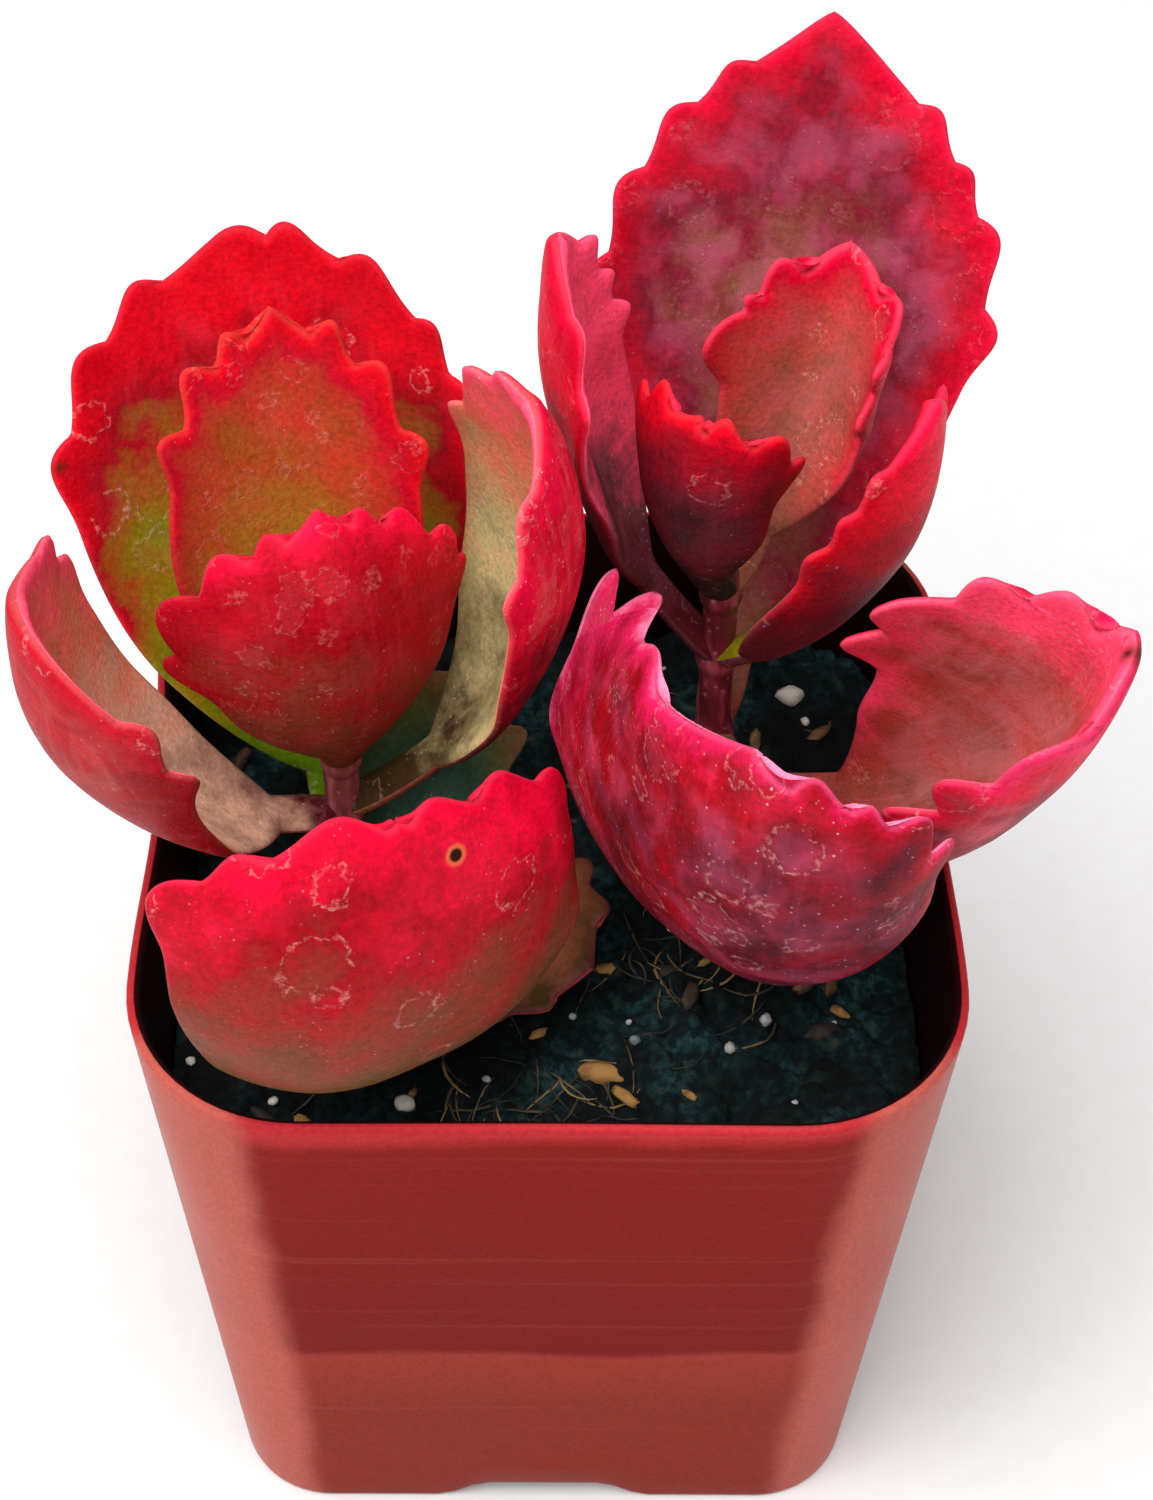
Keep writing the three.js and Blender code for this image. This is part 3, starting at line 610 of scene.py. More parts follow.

# %% [markdown]
# ## The leaf's skin
#
# In strong light a kalanchoe leaf stops being green from its rim inwards: first it turns olive and orange,
# then scarlet or crimson. So one number, the ripeness, is worked out on the leaf and read through a ramp
# of four named shades from unripe to ripe, one ramp for the inner and one for the outer face. The rim
# ripens first, but not at the leaf's base. Over it go the traces of a nursery: lengthwise streaks and hazy
# patches that keep off the rim, thin chalky rings where drops have dried, grains of lime, each with a size
# of its own, and a few scars. A waxy bloom, partly a painted sheen, keeps off the rim too, and a pale line
# on the rim of the lobes is partly a painted highlight. Some shades hold painted shade, as the looks say.
# The numbers of a look say how strong each trace is, apart from `drop`, which is the size of a dried drop
# in millimetres.

# %% Leaf looks
PLAIN_FACE = dict(start=0.0, edge=(0.3, 3.0), tip=(0.8, 1.5), slant=0.0)
PLAIN_LOOK = dict(
    bloom=0.1, tint="#e0607e", rings=0.5, drop=6.0, haze=0.12, grains=0.3, streaks=0.3, line=0.15,
    chalk=0.34, grit=-0.35,
)
SHADES = {
    "soot": "#302c30", "umber": "#36260f", "bark": "#74402a", "tan": "#84583a", "clay": "#8e5442",
    "pine": "#2f5240", "moss": "#505828", "leaf-green": "#3c8006", "olive": "#7c760a", "straw": "#96801c",
    "sallow": "#bcae78", "peach": "#d4a68c", "coral": "#d66e52", "rust": "#a2421e", "brick": "#b4443c",
    "mauve": "#64363e", "wine": "#501620", "oxblood": "#741a2a", "maroon": "#980a18", "garnet": "#b40a22",
    "scarlet": "#c40618", "crimson": "#d2062e", "cherry": "#e40a3a", "flame": "#e8061e", "rose": "#e2205c",
    "pink": "#fa466a", "shell": "#ff88ac",
}
LOOKS = {
    # The two low leaves lie in the shadow of the others, and their shades are darker than their own colour:
    # painted shade.
    "left_leaf_0_right": dict(
        inner=dict(ramp="tan bark bark umber"),
        outer=dict(ramp="tan bark rust brick"), bloom=0.03, rings=0.2, line=0.1,
    ),
    "left_leaf_0_back": dict(
        inner=dict(ramp="pine pine moss tan"),
        outer=dict(ramp="pine moss moss tan"), bloom=0.05, tint="#8fa898", rings=0.2, line=0.1,
    ),
    "left_leaf_1_back": dict(
        inner=dict(ramp="leaf-green olive maroon scarlet", edge=(0.5, 3.0), tip=(1.08, 1.8)),
        outer=dict(ramp="olive rust garnet scarlet", edge=(0.5, 5.0), tip=(0.8, 2.0)),
        bloom=0.03, rings=0.35, drop=4.0, grains=0.1, tint="#e0506a",
    ),
    # The first shades of this outer face are partly the leaf's own colour and partly painted shade, darkest
    # in its middle.
    "left_leaf_1_front": dict(
        outer=dict(ramp="moss bark maroon crimson", edge=(0.08, 3.0), tip=(1.0, 2.0), slant=0.04),
        inner=dict(ramp="olive rust garnet crimson", edge=(0.5, 4.0)),
        bloom=0.02, rings=1.0, drop=6.4, haze=0.02, grains=0.5, streaks=0.1,
    ),
    "left_leaf_2_left": dict(
        outer=dict(ramp="clay maroon maroon garnet", start=-0.1, tip=(0.95, 0.8)),
        inner=dict(ramp="wine peach coral pink", start=0.05, edge=(0.2, 2.0), tip=(0.95, 1.2)),
        bloom=0.12, tint="#d89a92", rings=0.6, grains=0.5, streaks=0.35,
    ),
    "left_leaf_2_right": dict(
        outer=dict(ramp="clay wine crimson cherry", start=-0.02, edge=(0.1, 2.0), tip=(1.1, 1.2)),
        inner=dict(ramp="umber sallow coral pink", start=-0.15, edge=(0.2, 1.5), tip=(1.1, 1.2)),
        bloom=0.03, tint="#e8b0a0", rings=0.5, drop=4.0, grains=0.8, grit=0.1, streaks=0.5,
    ),
    "left_leaf_3_back": dict(
        inner=dict(ramp="straw rust garnet scarlet", start=0.1, edge=(0.7, 1.7), tip=(0.42, 1.5),
                   slant=-0.15),
        outer=dict(ramp="straw rust garnet scarlet"),
        bloom=0.03, tint="#d8745c", rings=0.9, drop=2.8, haze=0.1, chalk=0.16,
    ),
    "left_leaf_3_front": dict(
        outer=dict(ramp="bark maroon garnet cherry", start=-0.1, edge=(0.35, 2.5), tip=(0.75, 1.2),
                   slant=0.12),
        inner=dict(ramp="tan rust garnet crimson"),
        bloom=0.05, tint="#d8606a", rings=1.0, drop=2.8, haze=0.1, chalk=0.16, grains=0.5,
    ),
    "right_leaf_0_right": dict(
        inner=dict(ramp="clay brick pink pink", start=-0.05, edge=(0.8, 2.6), tip=(0.5, 1.6)),
        outer=dict(ramp="brick oxblood crimson rose", start=0.1, edge=(0.5, 3.0), tip=(0.4, 2.0)),
        bloom=0.24, tint="#d8808c", rings=0.5, streaks=1.0, grains=0.5,
    ),
    "right_leaf_1_back": dict(
        inner=dict(ramp="tan oxblood garnet crimson", start=0.12, edge=(0.7, 4.0), tip=(0.2, 1.5),
                   slant=-0.08),
        outer=dict(ramp="tan mauve garnet scarlet", start=0.1, edge=(0.5, 3.0), tip=(0.4, 1.5)),
        bloom=0.25, tint="#c05878", rings=0.8, drop=5.0, haze=0.4, chalk=0.1,
    ),
    # The first shades of this outer face are partly the leaf's own colour and partly painted shade, darkest
    # in its middle.
    "right_leaf_1_front": dict(
        outer=dict(ramp="wine maroon rose shell", start=0.13, edge=(0.6, 2.6), tip=(-0.12, 6.0),
                   slant=-0.15),
        inner=dict(ramp="clay brick rose shell"),
        bloom=0.08, tint="#f0709c", rings=1.0, drop=4.4, haze=0.1, streaks=0.2, grains=0.7, grit=-0.2,
        line=0.3,
    ),
    "right_leaf_2_left": dict(
        inner=dict(ramp="wine mauve pink pink", start=-0.2, edge=(0.1, 2.0), tip=(1.3, 1.0),
                   slant=-0.15),
        outer=dict(ramp="mauve oxblood crimson crimson", start=-0.15, edge=(0.05, 2.0), tip=(1.2, 1.3)),
        bloom=0.12, tint="#e07088", rings=0.4, grains=0.7, streaks=0.5, chalk=0.2,
    ),
    "right_leaf_2_right": dict(
        outer=dict(ramp="mauve oxblood scarlet cherry", start=-0.15, edge=(0.1, 2.0), tip=(1.1, 1.1)),
        inner=dict(ramp="olive tan garnet crimson", start=-0.1),
        bloom=0.05, rings=0.4, grains=0.6,
    ),
    "right_leaf_3_back": dict(
        inner=dict(ramp="clay brick crimson cherry", start=-0.1, edge=(0.5, 2.5), tip=(0.5, 1.5)),
        outer=dict(ramp="clay brick crimson cherry"),
        bloom=0.15, tint="#e0647c", rings=0.8, drop=4.0, haze=0.15, line=0.3,
    ),
    # The first shades of this outer face are partly the leaf's own colour and partly painted shade, darkest
    # in its middle.
    "right_leaf_3_front": dict(
        outer=dict(ramp="soot oxblood garnet flame", start=-0.1, edge=(0.4, 2.5), tip=(0.8, 2.0)),
        inner=dict(ramp="bark brick garnet cherry"),
        bloom=0.04, tint="#b06a74", rings=0.3, grains=0.4, line=0.15,
    ),
}
LOOKS = {name: {**PLAIN_LOOK, **look} for name, look in LOOKS.items()}
print(len(LOOKS), "leaf looks")

# %% [markdown]
# ## One recipe for fifteen leaves
#
# The vertex values of the flat leaf drive everything: how far a point is from the rim in millimetres, how
# far along the blade it is, and which face it is on. Noise is read from the flat place in millimetres, so a
# texture scale of 0.5 means features about two millimetres wide. A pair of values holds the two ends of a
# range: shares of the leaf's length, strengths, or millimetres where the name says so.

# %% Leaf finish
RAMP_STEPS = (0.0, 0.35, 0.7, 1.0)
FRESH_SHARES = (0.1, 0.5)
FACES_APART_MM = 31.0
NOISE_ENDS = (0.3, 0.7)
PATCHES, SPECKLE, BLOTCH = (-0.16, 0.16), (0.74, 1.26), (0.85, 1.15)
STREAK_STRENGTH, BLOOM_AND_SHEEN_STRENGTH = 0.25, 1.4
RIM_BAND_MM, RIM_KEEPS = (0.5, 5.0), 0.15
DROP_WOBBLE_MM, DROP_RADII, DROP_SHARE = 2.6, (0.2, 0.48), 0.75
RING_WIDTH_MM = 0.2
GRAIN_SCALE, GRAIN_RADIUS, GRAIN_SOFT, GRAIN_DEPTH = 2.2, 0.3, 0.15, 0.6
RIM_LINE_MM = (0.05, 0.4)
SKIN_ROUGHNESS = (0.38, 0.6)
CHALK, LIME = "#f2b4ac", "#f0c4c8"


def face_colour(add, face, zone, rim, lean, patch):
    """Ripeness = start + edge fresh e^(-rim / falloff) + tip reach^power + slant across / width + patch.

    reach = share of the leaf's length, fresh = 0 at its base to 1 from half way, so the base has no red edge.
    """
    face = {**PLAIN_FACE, **face}
    reach = zone.outputs["Y"]
    fade = add("Math MULTIPLY", rim, -1 / face["edge"][1])
    fresh = add("MapRange SMOOTHSTEP", reach, *FRESH_SHARES)
    edge = add("Math MULTIPLY", add("Math EXPONENT", fade), fresh)
    total = add("Math MULTIPLY_ADD", edge, face["edge"][0], patch)
    total = add("Math MULTIPLY_ADD", add("Math POWER", reach, face["tip"][1]), face["tip"][0], total)
    total = add("Math MULTIPLY_ADD", lean, face["slant"], total)
    ripeness = add("Math ADD", total, face["start"], use_clamp=True)
    shades = [SHADES[shade] for shade in face["ramp"].split()]
    return add("ValToRGB", ripeness, stops=zip(RAMP_STEPS, shades))


def leaf_finish(name, look, width, scars=()):
    """Ripeness to colour, then speckle, streaks, bloom and painted sheen, drop marks, grains, rim line and
    scars, in turn.
    """
    material, shader, add = new_finish(
        f"{name} skin", Roughness=0.45, Subsurface_Weight=0.1, Subsurface_Scale=0.001,
        Subsurface_Radius=(1.0, 0.35, 0.2), Specular_IOR_Level=0.04,
    )
    flat = add("Attribute", attribute_name="flat_mm").outputs["Vector"]
    zone = add("SeparateXYZ", add("Attribute", attribute_name="zone").outputs["Vector"])
    rim = add("Attribute", attribute_name="rim_mm").outputs["Fac"]
    inner_face = add("Math GREATER_THAN", zone.outputs["Z"], 0.0)
    place = add("VectorMath ADD", flat, add("CombineXYZ", Z=add("Math MULTIPLY", inner_face, FACES_APART_MM)))
    lean = add("Math MULTIPLY", add("SeparateXYZ", flat), 1 / width)
    clouds = add("TexNoise", place, Scale=0.2, Detail=5.0, Roughness=0.62)
    patch = add("MapRange", clouds, *NOISE_ENDS, *PATCHES)
    faces = [face_colour(add, look[side], zone, rim, lean, patch) for side in ("outer", "inner")]
    colour = add("Mix RGBA", inner_face, *faces)

    # Speckle of the skin's cells, and pale streaks along the veins. Streaks, bloom and haze keep off the rim.
    cells = add("TexNoise", place, Scale=2.2, Detail=4.0, Roughness=0.7)
    shade = add("MapRange", cells, *NOISE_ENDS, *SPECKLE)
    blotch = add("MapRange", clouds, *NOISE_ENDS, *BLOTCH)
    colour = add("VectorMath SCALE", colour, add("Math MULTIPLY", shade, blotch))
    veins = add("TexNoise", add("VectorMath MULTIPLY", place, (1.3, 0.16, 1.0)), Scale=1.0, Detail=3.0)
    streak = add("MapRange", veins, 0.5, 0.75, 0.0, STREAK_STRENGTH * look["streaks"])
    centre = add("MapRange SMOOTHSTEP", rim, *RIM_BAND_MM, RIM_KEEPS, 1.0)
    colour = add("Mix RGBA", add("Math MULTIPLY", streak, centre), colour, look["tint"])

    # Waxy bloom in soft patches, partly a painted sheen.
    soft = add("TexNoise", place, Scale=0.24, Detail=5.0, Distortion=0.5)
    wax_and_sheen = add("MapRange SMOOTHSTEP", soft, 0.4, 0.7, 0.0, BLOOM_AND_SHEEN_STRENGTH * look["bloom"])
    colour = add("Mix RGBA", add("Math MULTIPLY", wax_and_sheen, centre), colour, look["tint"])

    # Dried drops: a wobbly cell pattern gives each drop a radius, a hazy middle and a chalky ring.
    wobble = add("TexNoise", place, Scale=0.9, Detail=3.0)
    shift = add("VectorMath SUBTRACT", wobble.outputs["Color"], (0.5, 0.5, 0.5))
    bent = add("VectorMath MULTIPLY_ADD", shift, (DROP_WOBBLE_MM, DROP_WOBBLE_MM, 0.0), place)
    drops = add("TexVoronoi", bent, Scale=1 / look["drop"])
    dice = add("SeparateColor", drops.outputs["Color"])
    inside = add("Math SUBTRACT", add("MapRange", dice, 0.0, 1.0, *DROP_RADII), drops)
    line = add("MapRange", add("Math ABSOLUTE", inside), 0.0, RING_WIDTH_MM / look["drop"], 1.0, 0.0)
    broken = add("Math MULTIPLY", line, add("MapRange", cells, 0.42, 0.62))
    chosen = add("Math GREATER_THAN", dice.outputs["Green"], 1 - DROP_SHARE * look["rings"])
    ring = add("Math MULTIPLY", broken, chosen)
    middle = add("MapRange SMOOTHSTEP", inside, 0.0, 0.15, 0.0, look["haze"])
    hazed = add("Math MULTIPLY", add("Math MULTIPLY", middle, dice.outputs["Blue"]), centre)
    colour = add("Mix RGBA", hazed, colour, look["tint"])
    colour = add("Mix RGBA", add("Math MULTIPLY", ring, look["chalk"]), colour, CHALK)

    # Grains of lime, each with a size of its own, only here and there.
    grit = add("TexVoronoi", place, Scale=GRAIN_SCALE)
    size = add("MapRange", add("SeparateColor", grit.outputs["Color"]), 0.45, 1.0, 0.0, GRAIN_RADIUS)
    dot = add("MapRange", add("Math SUBTRACT", size, grit), 0.0, GRAIN_SOFT, 0.0, GRAIN_DEPTH)
    likely = add("Math MULTIPLY_ADD", zone.outputs["Y"], look["grit"], soft)
    where = add("MapRange", likely, 0.15, 0.45, 0.0, look["grains"])
    colour = add("Mix RGBA", add("Math MULTIPLY", dot, where), colour, LIME)

    # The rim of the lobes carries a pale line, partly its pale margin and partly a painted highlight,
    # stronger towards the tip, and a few leaves are scarred.
    line = add("MapRange", rim, *RIM_LINE_MM, look["line"], 0.0)
    colour = add("Mix RGBA", add("Math MULTIPLY", line, zone.outputs["Y"]), colour, look["tint"])
    for across_mm, along_mm, inner_size, outer_size, code in scars:
        spot = add("VectorMath DISTANCE", flat, (across_mm, along_mm, leaf_seed(name)))
        colour = add("Mix RGBA", add("MapRange", spot, inner_size, outer_size, 1.0, 0.0), colour, code)

    rough = add("MapRange", soft, 0.4, 0.7, *SKIN_ROUGHNESS)
    wire(shader, colour, add("Math MULTIPLY_ADD", ring, 0.4, cells), 0.6, 0.00015, rough)
    return material


SCARS = {
    "left_leaf_1_front": ((3.7, 54.9, 0.6, 0.95, "#d0603c"), (3.7, 54.9, 0.4, 0.62, "#2c0c08")),
    "left_leaf_1_back": ((18.6, 36.5, 0.1, 0.8, "#6e1c14"),),
    "right_leaf_0_right": ((-1.6, 54.0, 0.1, 1.3, "#5a1a14"),),
}
LEAF_SLOTS = {
    "scarlet_leaf": ("left_leaf_1_back", "left_leaf_3_back"),
    "crimson_leaf": (
        "left_leaf_1_front", "left_leaf_2_left", "left_leaf_2_right", "left_leaf_3_front",
        "right_leaf_2_left", "right_leaf_2_right", "right_leaf_3_front",
    ),
    "rose_leaf": ("right_leaf_0_right", "right_leaf_1_back", "right_leaf_1_front", "right_leaf_3_back"),
    "orange_leaf": ("left_leaf_0_right",),
    "green_leaf": ("left_leaf_0_back",),
}
for slot, names in LEAF_SLOTS.items():
    for name in names:
        finish = leaf_finish(name, LOOKS[name], LEAVES[name]["width"], SCARS.get(name, ()))
        dress(leaf_pieces[name], finish, slot, name)
print("leaves dressed")

# %% [markdown]
# ## The pot
#
# A nursery pot is blown or moulded in one thin wall. It could be a scaled box with bevels, but every level
# of the real one is its own rounded square, whose sides bow in towards the rim and whose corners open up.
# So the wall is a stack of such rings, from under the floor, round the foot, up the outside, over a rounded
# rim and down the inside. Low arches in the foot let water out below the four drain holes.

# %% Pot
POT_HEIGHT = 64.0
FOOT_HALF, RIM_HALF = 26.1, 32.0
FOOT_CORNER, RIM_CORNER = 7.7, 13.4
SIDE_BOWS = (0.9, 0.6, 0.9, 0.1)
WALL = 1.1
FOOT_WALL = 2.0
FLOOR_UNDER, FLOOR_TOP = 2.6, 3.8
ARCH_HEIGHT, ARCH_TOP, ARCH_FOOT = 2.0, 4.75, 9.0
CORNER_STEPS = 14
SIDE_PLACES = np.unique(np.append(np.linspace(-1, 1, 25), [-0.25, 0.25]))


def wall_ring(z, inset):
    """Rounded square at height z: x = half - bow (1 + cos(pi s / flat)) / 2 on a side, arcs at corners."""
    share = z / POT_HEIGHT
    half = FOOT_HALF + (RIM_HALF - FOOT_HALF) * share - inset
    corner = FOOT_CORNER + (RIM_CORNER - FOOT_CORNER) * share - inset
    flat = half - corner
    s = SIDE_PLACES[:-1] * flat
    angle = np.linspace(0, np.pi / 2, CORNER_STEPS + 1)[:-1]
    around = np.column_stack([np.cos(angle), np.sin(angle)])
    arc = np.column_stack([flat + corner * around, np.full(len(angle), half)])
    quarters = []
    for (cosine, sine), most in zip(((1, 0), (0, 1), (-1, 0), (0, -1)), SIDE_BOWS):
        bow = most * share * (1 + np.cos(np.pi * s / flat)) / 2
        part = np.vstack([np.column_stack([half - bow, s, np.abs(s)]), arc])
        turned_x = cosine * part[:, 0] - sine * part[:, 1]
        turned_y = sine * part[:, 0] + cosine * part[:, 1]
        quarters.append(np.column_stack([turned_x, turned_y, part[:, 2]]))
    return np.vstack(quarters)


def arch(distance):
    """Height of the arched foot: a smooth step between its two ends."""
    return ARCH_HEIGHT * smoothstep((ARCH_FOOT - distance) / (ARCH_FOOT - ARCH_TOP))


RIM_ROUND = WALL / 2
FOOT_PROFILE = [(FOOT_WALL, FLOOR_UNDER, 0), (FOOT_WALL, 0.3, 1), (1.8, 0.08, 1), (1.5, 0, 1), (0.6, 0, 1),
                (0.25, 0.1, 1), (0.06, 0.35, 1), (0, 0.8, 1)]
WALL_START = 3.4
OUTSIDE_LEVELS, RIM_LEVELS, INSIDE_LEVELS = 24, 9, 16
rings = []
for inset, z, arched in FOOT_PROFILE:
    ring = wall_ring(z, inset)
    rings.append(np.column_stack([ring[:, :2], z + arched * arch(ring[:, 2])]))
turn = np.linspace(0, np.pi, RIM_LEVELS)
outside = [(0, z) for z in np.linspace(WALL_START, POT_HEIGHT - RIM_ROUND, OUTSIDE_LEVELS)[:-1]]
rim = [(RIM_ROUND * (1 - np.cos(a)), POT_HEIGHT - RIM_ROUND * (1 - np.sin(a))) for a in turn]
inside = [(WALL, z) for z in np.linspace(POT_HEIGHT - RIM_ROUND, FLOOR_TOP, INSIDE_LEVELS)[1:]]
for inset, z in [*outside, *rim, *inside]:
    ring = wall_ring(z, inset)
    rings.append(np.column_stack([ring[:, :2], np.full(len(ring), z)]))
vertices, faces = ring_stack(rings, (0, 0, FLOOR_UNDER), (0, 0, FLOOR_TOP))
pot = mesh_object("nursery_pot", vertices * MM + pot_axis, faces)
print("pot with", len(pot.data.polygons), "faces")

# %% Drain holes
DRAIN_RADIUS = 2.6
DRAIN_PLACE = 14.0
DRAIN_CORNERS = 32


def cut_drain(piece, x, y):
    """Cuts one round hole through the floor with a Boolean modifier, applied at once."""
    angle = np.linspace(0, 2 * np.pi, DRAIN_CORNERS + 1)[:-1]
    circle = np.column_stack([x + DRAIN_RADIUS * np.cos(angle), y + DRAIN_RADIUS * np.sin(angle)])
    low, high = FLOOR_UNDER - 1, FLOOR_TOP + 1
    levels = [np.column_stack([circle, np.full(len(circle), z)]) for z in (low, high)]
    vertices, faces = ring_stack(levels, (x, y, low), (x, y, high))
    plug = mesh_object("drain_plug", vertices * MM + pot_axis, faces)
    modifier = piece.modifiers.new("drain", "BOOLEAN")
    modifier.object, modifier.operation, modifier.solver = plug, "DIFFERENCE", "EXACT"
    bpy.context.view_layer.update()
    evaluated = piece.evaluated_get(bpy.context.evaluated_depsgraph_get())
    holed = bpy.data.meshes.new_from_object(evaluated)
    piece.modifiers.clear()
    piece.data = holed
    bpy.data.objects.remove(plug)


for x, y in ((1, 1), (-1, 1), (-1, -1), (1, -1)):
    cut_drain(pot, x * DRAIN_PLACE, y * DRAIN_PLACE)
print("pot drilled:", len(pot.data.polygons), "faces")

# %% [markdown]
# ## Terracotta-coloured plastic
#
# The pot is polypropylene, injection moulded and coloured like fired clay. It is half glossy. Handling has
# left faint level scuffs round it. Painted light lies in its colour as well: the lower part is painted paler
# and the band above it darker, as painted reflections, its corners are painted pale as a painted reflection,
# the rim carries a painted highlight, and the faces that look inwards get painted shade.

# %% Pot finish
# Colour by height holds painted light: the paler lower band and the darker band above it are painted
# reflections, and the top stop is a painted highlight on the rim.
BODY_STOPS_WITH_PAINTED_LIGHT = [(0.0, "#86261a"), (0.3, "#82261a"), (0.445, "#943024"), (0.46, "#740a06"), (0.955, "#800e08"),
              (0.985, "#b02a30")]
BODY_TOP_M, BODY_WAVE_M = 0.066, 0.004
# Painted reflection on the corners: where it fades in, in metres from the middle of a side, its waviness,
# lean and strength.
REFLECTION_FROM_M, REFLECTION_FULL_M, REFLECTION_WAVE_M = 0.0208, 0.0238, 0.005
REFLECTION_LEAN, REFLECTION_DEPTH = 0.06, 0.85
SCUFF_DEPTH = 0.1
SHADE_FROM_M, SHADE_FULL_M = -0.002, -0.008
PLASTIC_ROUGHNESS = (0.26, 0.38)
CORNER_REFLECTION, SCUFFED, SHADED = "#b85a4e", "#d3786a", "#200a0c"

material, shader, add = new_finish("terracotta polypropylene", Roughness=0.3, Specular_IOR_Level=0.03)
place = add("TexCoord").outputs["Object"]
axes = add("SeparateXYZ", place)
clouds = add("TexNoise", place, Scale=60.0, Detail=4.0)
wavy = add("Math MULTIPLY_ADD", clouds, BODY_WAVE_M, axes.outputs["Z"])
body = add("ValToRGB", add("MapRange", wavy, 0.0, BODY_TOP_M), stops=BODY_STOPS_WITH_PAINTED_LIGHT)
# Painted reflection: each side is painted paler away from its middle, towards the rounded corners, from a
# wavy line that moves outwards as it rises.
offset = [add("Math ADD", axes.outputs[axis], -pot_axis[number]) for number, axis in enumerate("XY")]
nearer = add("Math MINIMUM", *(add("Math ABSOLUTE", part) for part in offset))
higher = add("Math MULTIPLY_ADD", axes.outputs["Z"], -REFLECTION_LEAN, nearer)
ragged = add("Math MULTIPLY_ADD", clouds, REFLECTION_WAVE_M, higher)
corner_reflection = add("MapRange SMOOTHSTEP", ragged, REFLECTION_FROM_M, REFLECTION_FULL_M, 0.0, REFLECTION_DEPTH)
colour = add("Mix RGBA", corner_reflection, body, CORNER_REFLECTION)
scuffs = add("TexNoise", add("VectorMath MULTIPLY", place, (12.0, 12.0, 900.0)), Scale=1.0, Detail=3.0)
colour = add("Mix RGBA", add("MapRange", scuffs, 0.62, 0.8, 0.0, SCUFF_DEPTH), colour, SCUFFED)
specks = add("TexNoise", place, Scale=2500.0, Detail=2.0)
fine = add("ValToRGB", specks, stops=[(0.3, "#e4e4e4"), (0.7, "#ffffff")])
colour = add("Mix RGBA", 1.0, colour, fine, blend_type="MULTIPLY")
# Painted shade: faces that look in towards the pot's axis are darkened.
facing = add("VectorMath DOT_PRODUCT", add("TexCoord").outputs["Normal"], add("CombineXYZ", *offset))
colour = add("Mix RGBA", add("MapRange", facing, SHADE_FROM_M, SHADE_FULL_M, 0.0, 1.0), colour, SHADED)
dull = add("MapRange", clouds, *NOISE_ENDS, *PLASTIC_ROUGHNESS)
wire(shader, colour, add("Math ADD", specks, clouds), 0.25, 0.00005, dull)
dress(pot, material, "terracotta_plastic", "pot")
print("pot dressed")

# %% [markdown]
# ## Peat
#
# The pot is filled with dark, crumbly peat. A displaced plane would do for the look, but the piece has to be
# a closed body, so a square grid is stretched onto the rounded square of the wall, its top raised by crumbs,
# and its rim drawn down to the pot's floor. A crumb is a small dome round each of a jittered set of points.

# %% Peat
SOIL_LEVEL = 51.0
SOIL_INSET = 1.45
SOIL_FOOT = 4.15
SOIL_WAVES = ((0.6, 0.24, 0.21, 1.1), (0.3, 0.71, 0.63, -0.6))
CRUMBS = ((3.4, 1.3, 11), (1.7, 0.95, 12), (0.9, 0.5, 13))
CRUMB_SINK = 1.3
CRUMB_LEAST, CRUMB_SPREAD = 0.35, 0.55
CRUMB_PLACES = 97
UNEVEN_HEIGHT, UNEVEN_CELL = 0.35, 6.0
SOIL_SHIFT = 50
SOIL_GRID = 230


def soil_level(x, y):
    """Two crossed waves: height * sin(a x + shift) * cos(b y - shift), added to the soil's level."""
    waves = sum(h * np.sin(a * x + shift) * np.cos(b * y - shift) for h, a, b, shift in SOIL_WAVES)
    return SOIL_LEVEL + waves


def crumb_height(x, y, cell, height, seed):
    """Highest of the domes round nine neighbouring jittered points, each with a radius of its own."""
    dice = np.random.default_rng(seed).uniform(0, 1, (3, CRUMB_PLACES, CRUMB_PLACES))
    column, row = np.floor(x / cell).astype(int), np.floor(y / cell).astype(int)
    best = np.zeros_like(x)
    for i in (-1, 0, 1):
        for j in (-1, 0, 1):
            a, b = (column + i) % CRUMB_PLACES, (row + j) % CRUMB_PLACES
            dx = x / cell - column - i - dice[0, a, b]
            dy = y / cell - row - j - dice[1, a, b]
            size = CRUMB_LEAST + CRUMB_SPREAD * dice[2, a, b]
            best = np.maximum(best, size * np.sqrt(np.clip(1 - (dx * dx + dy * dy) / size**2, 0, 1)))
    return height * best


def soil_top(x, y):
    """Waves plus three sizes of crumbs and a fine unevenness."""
    place = x + SOIL_SHIFT, y + SOIL_SHIFT
    lumps = sum(crumb_height(*place, cell, height, seed) for cell, height, seed in CRUMBS)
    return soil_level(x, y) - CRUMB_SINK + lumps + UNEVEN_HEIGHT * value_noise(*place, UNEVEN_CELL, 21)


def soil_reach(z, direction):
    """How far the soil reaches at height z, for directions from the pot's axis."""
    edge = wall_ring(z, SOIL_INSET)[:, :2]
    bearing = np.arctan2(edge[:, 1], edge[:, 0])
    order = np.argsort(bearing)
    return np.interp(direction, bearing[order], np.hypot(*edge[order].T), period=2 * np.pi)


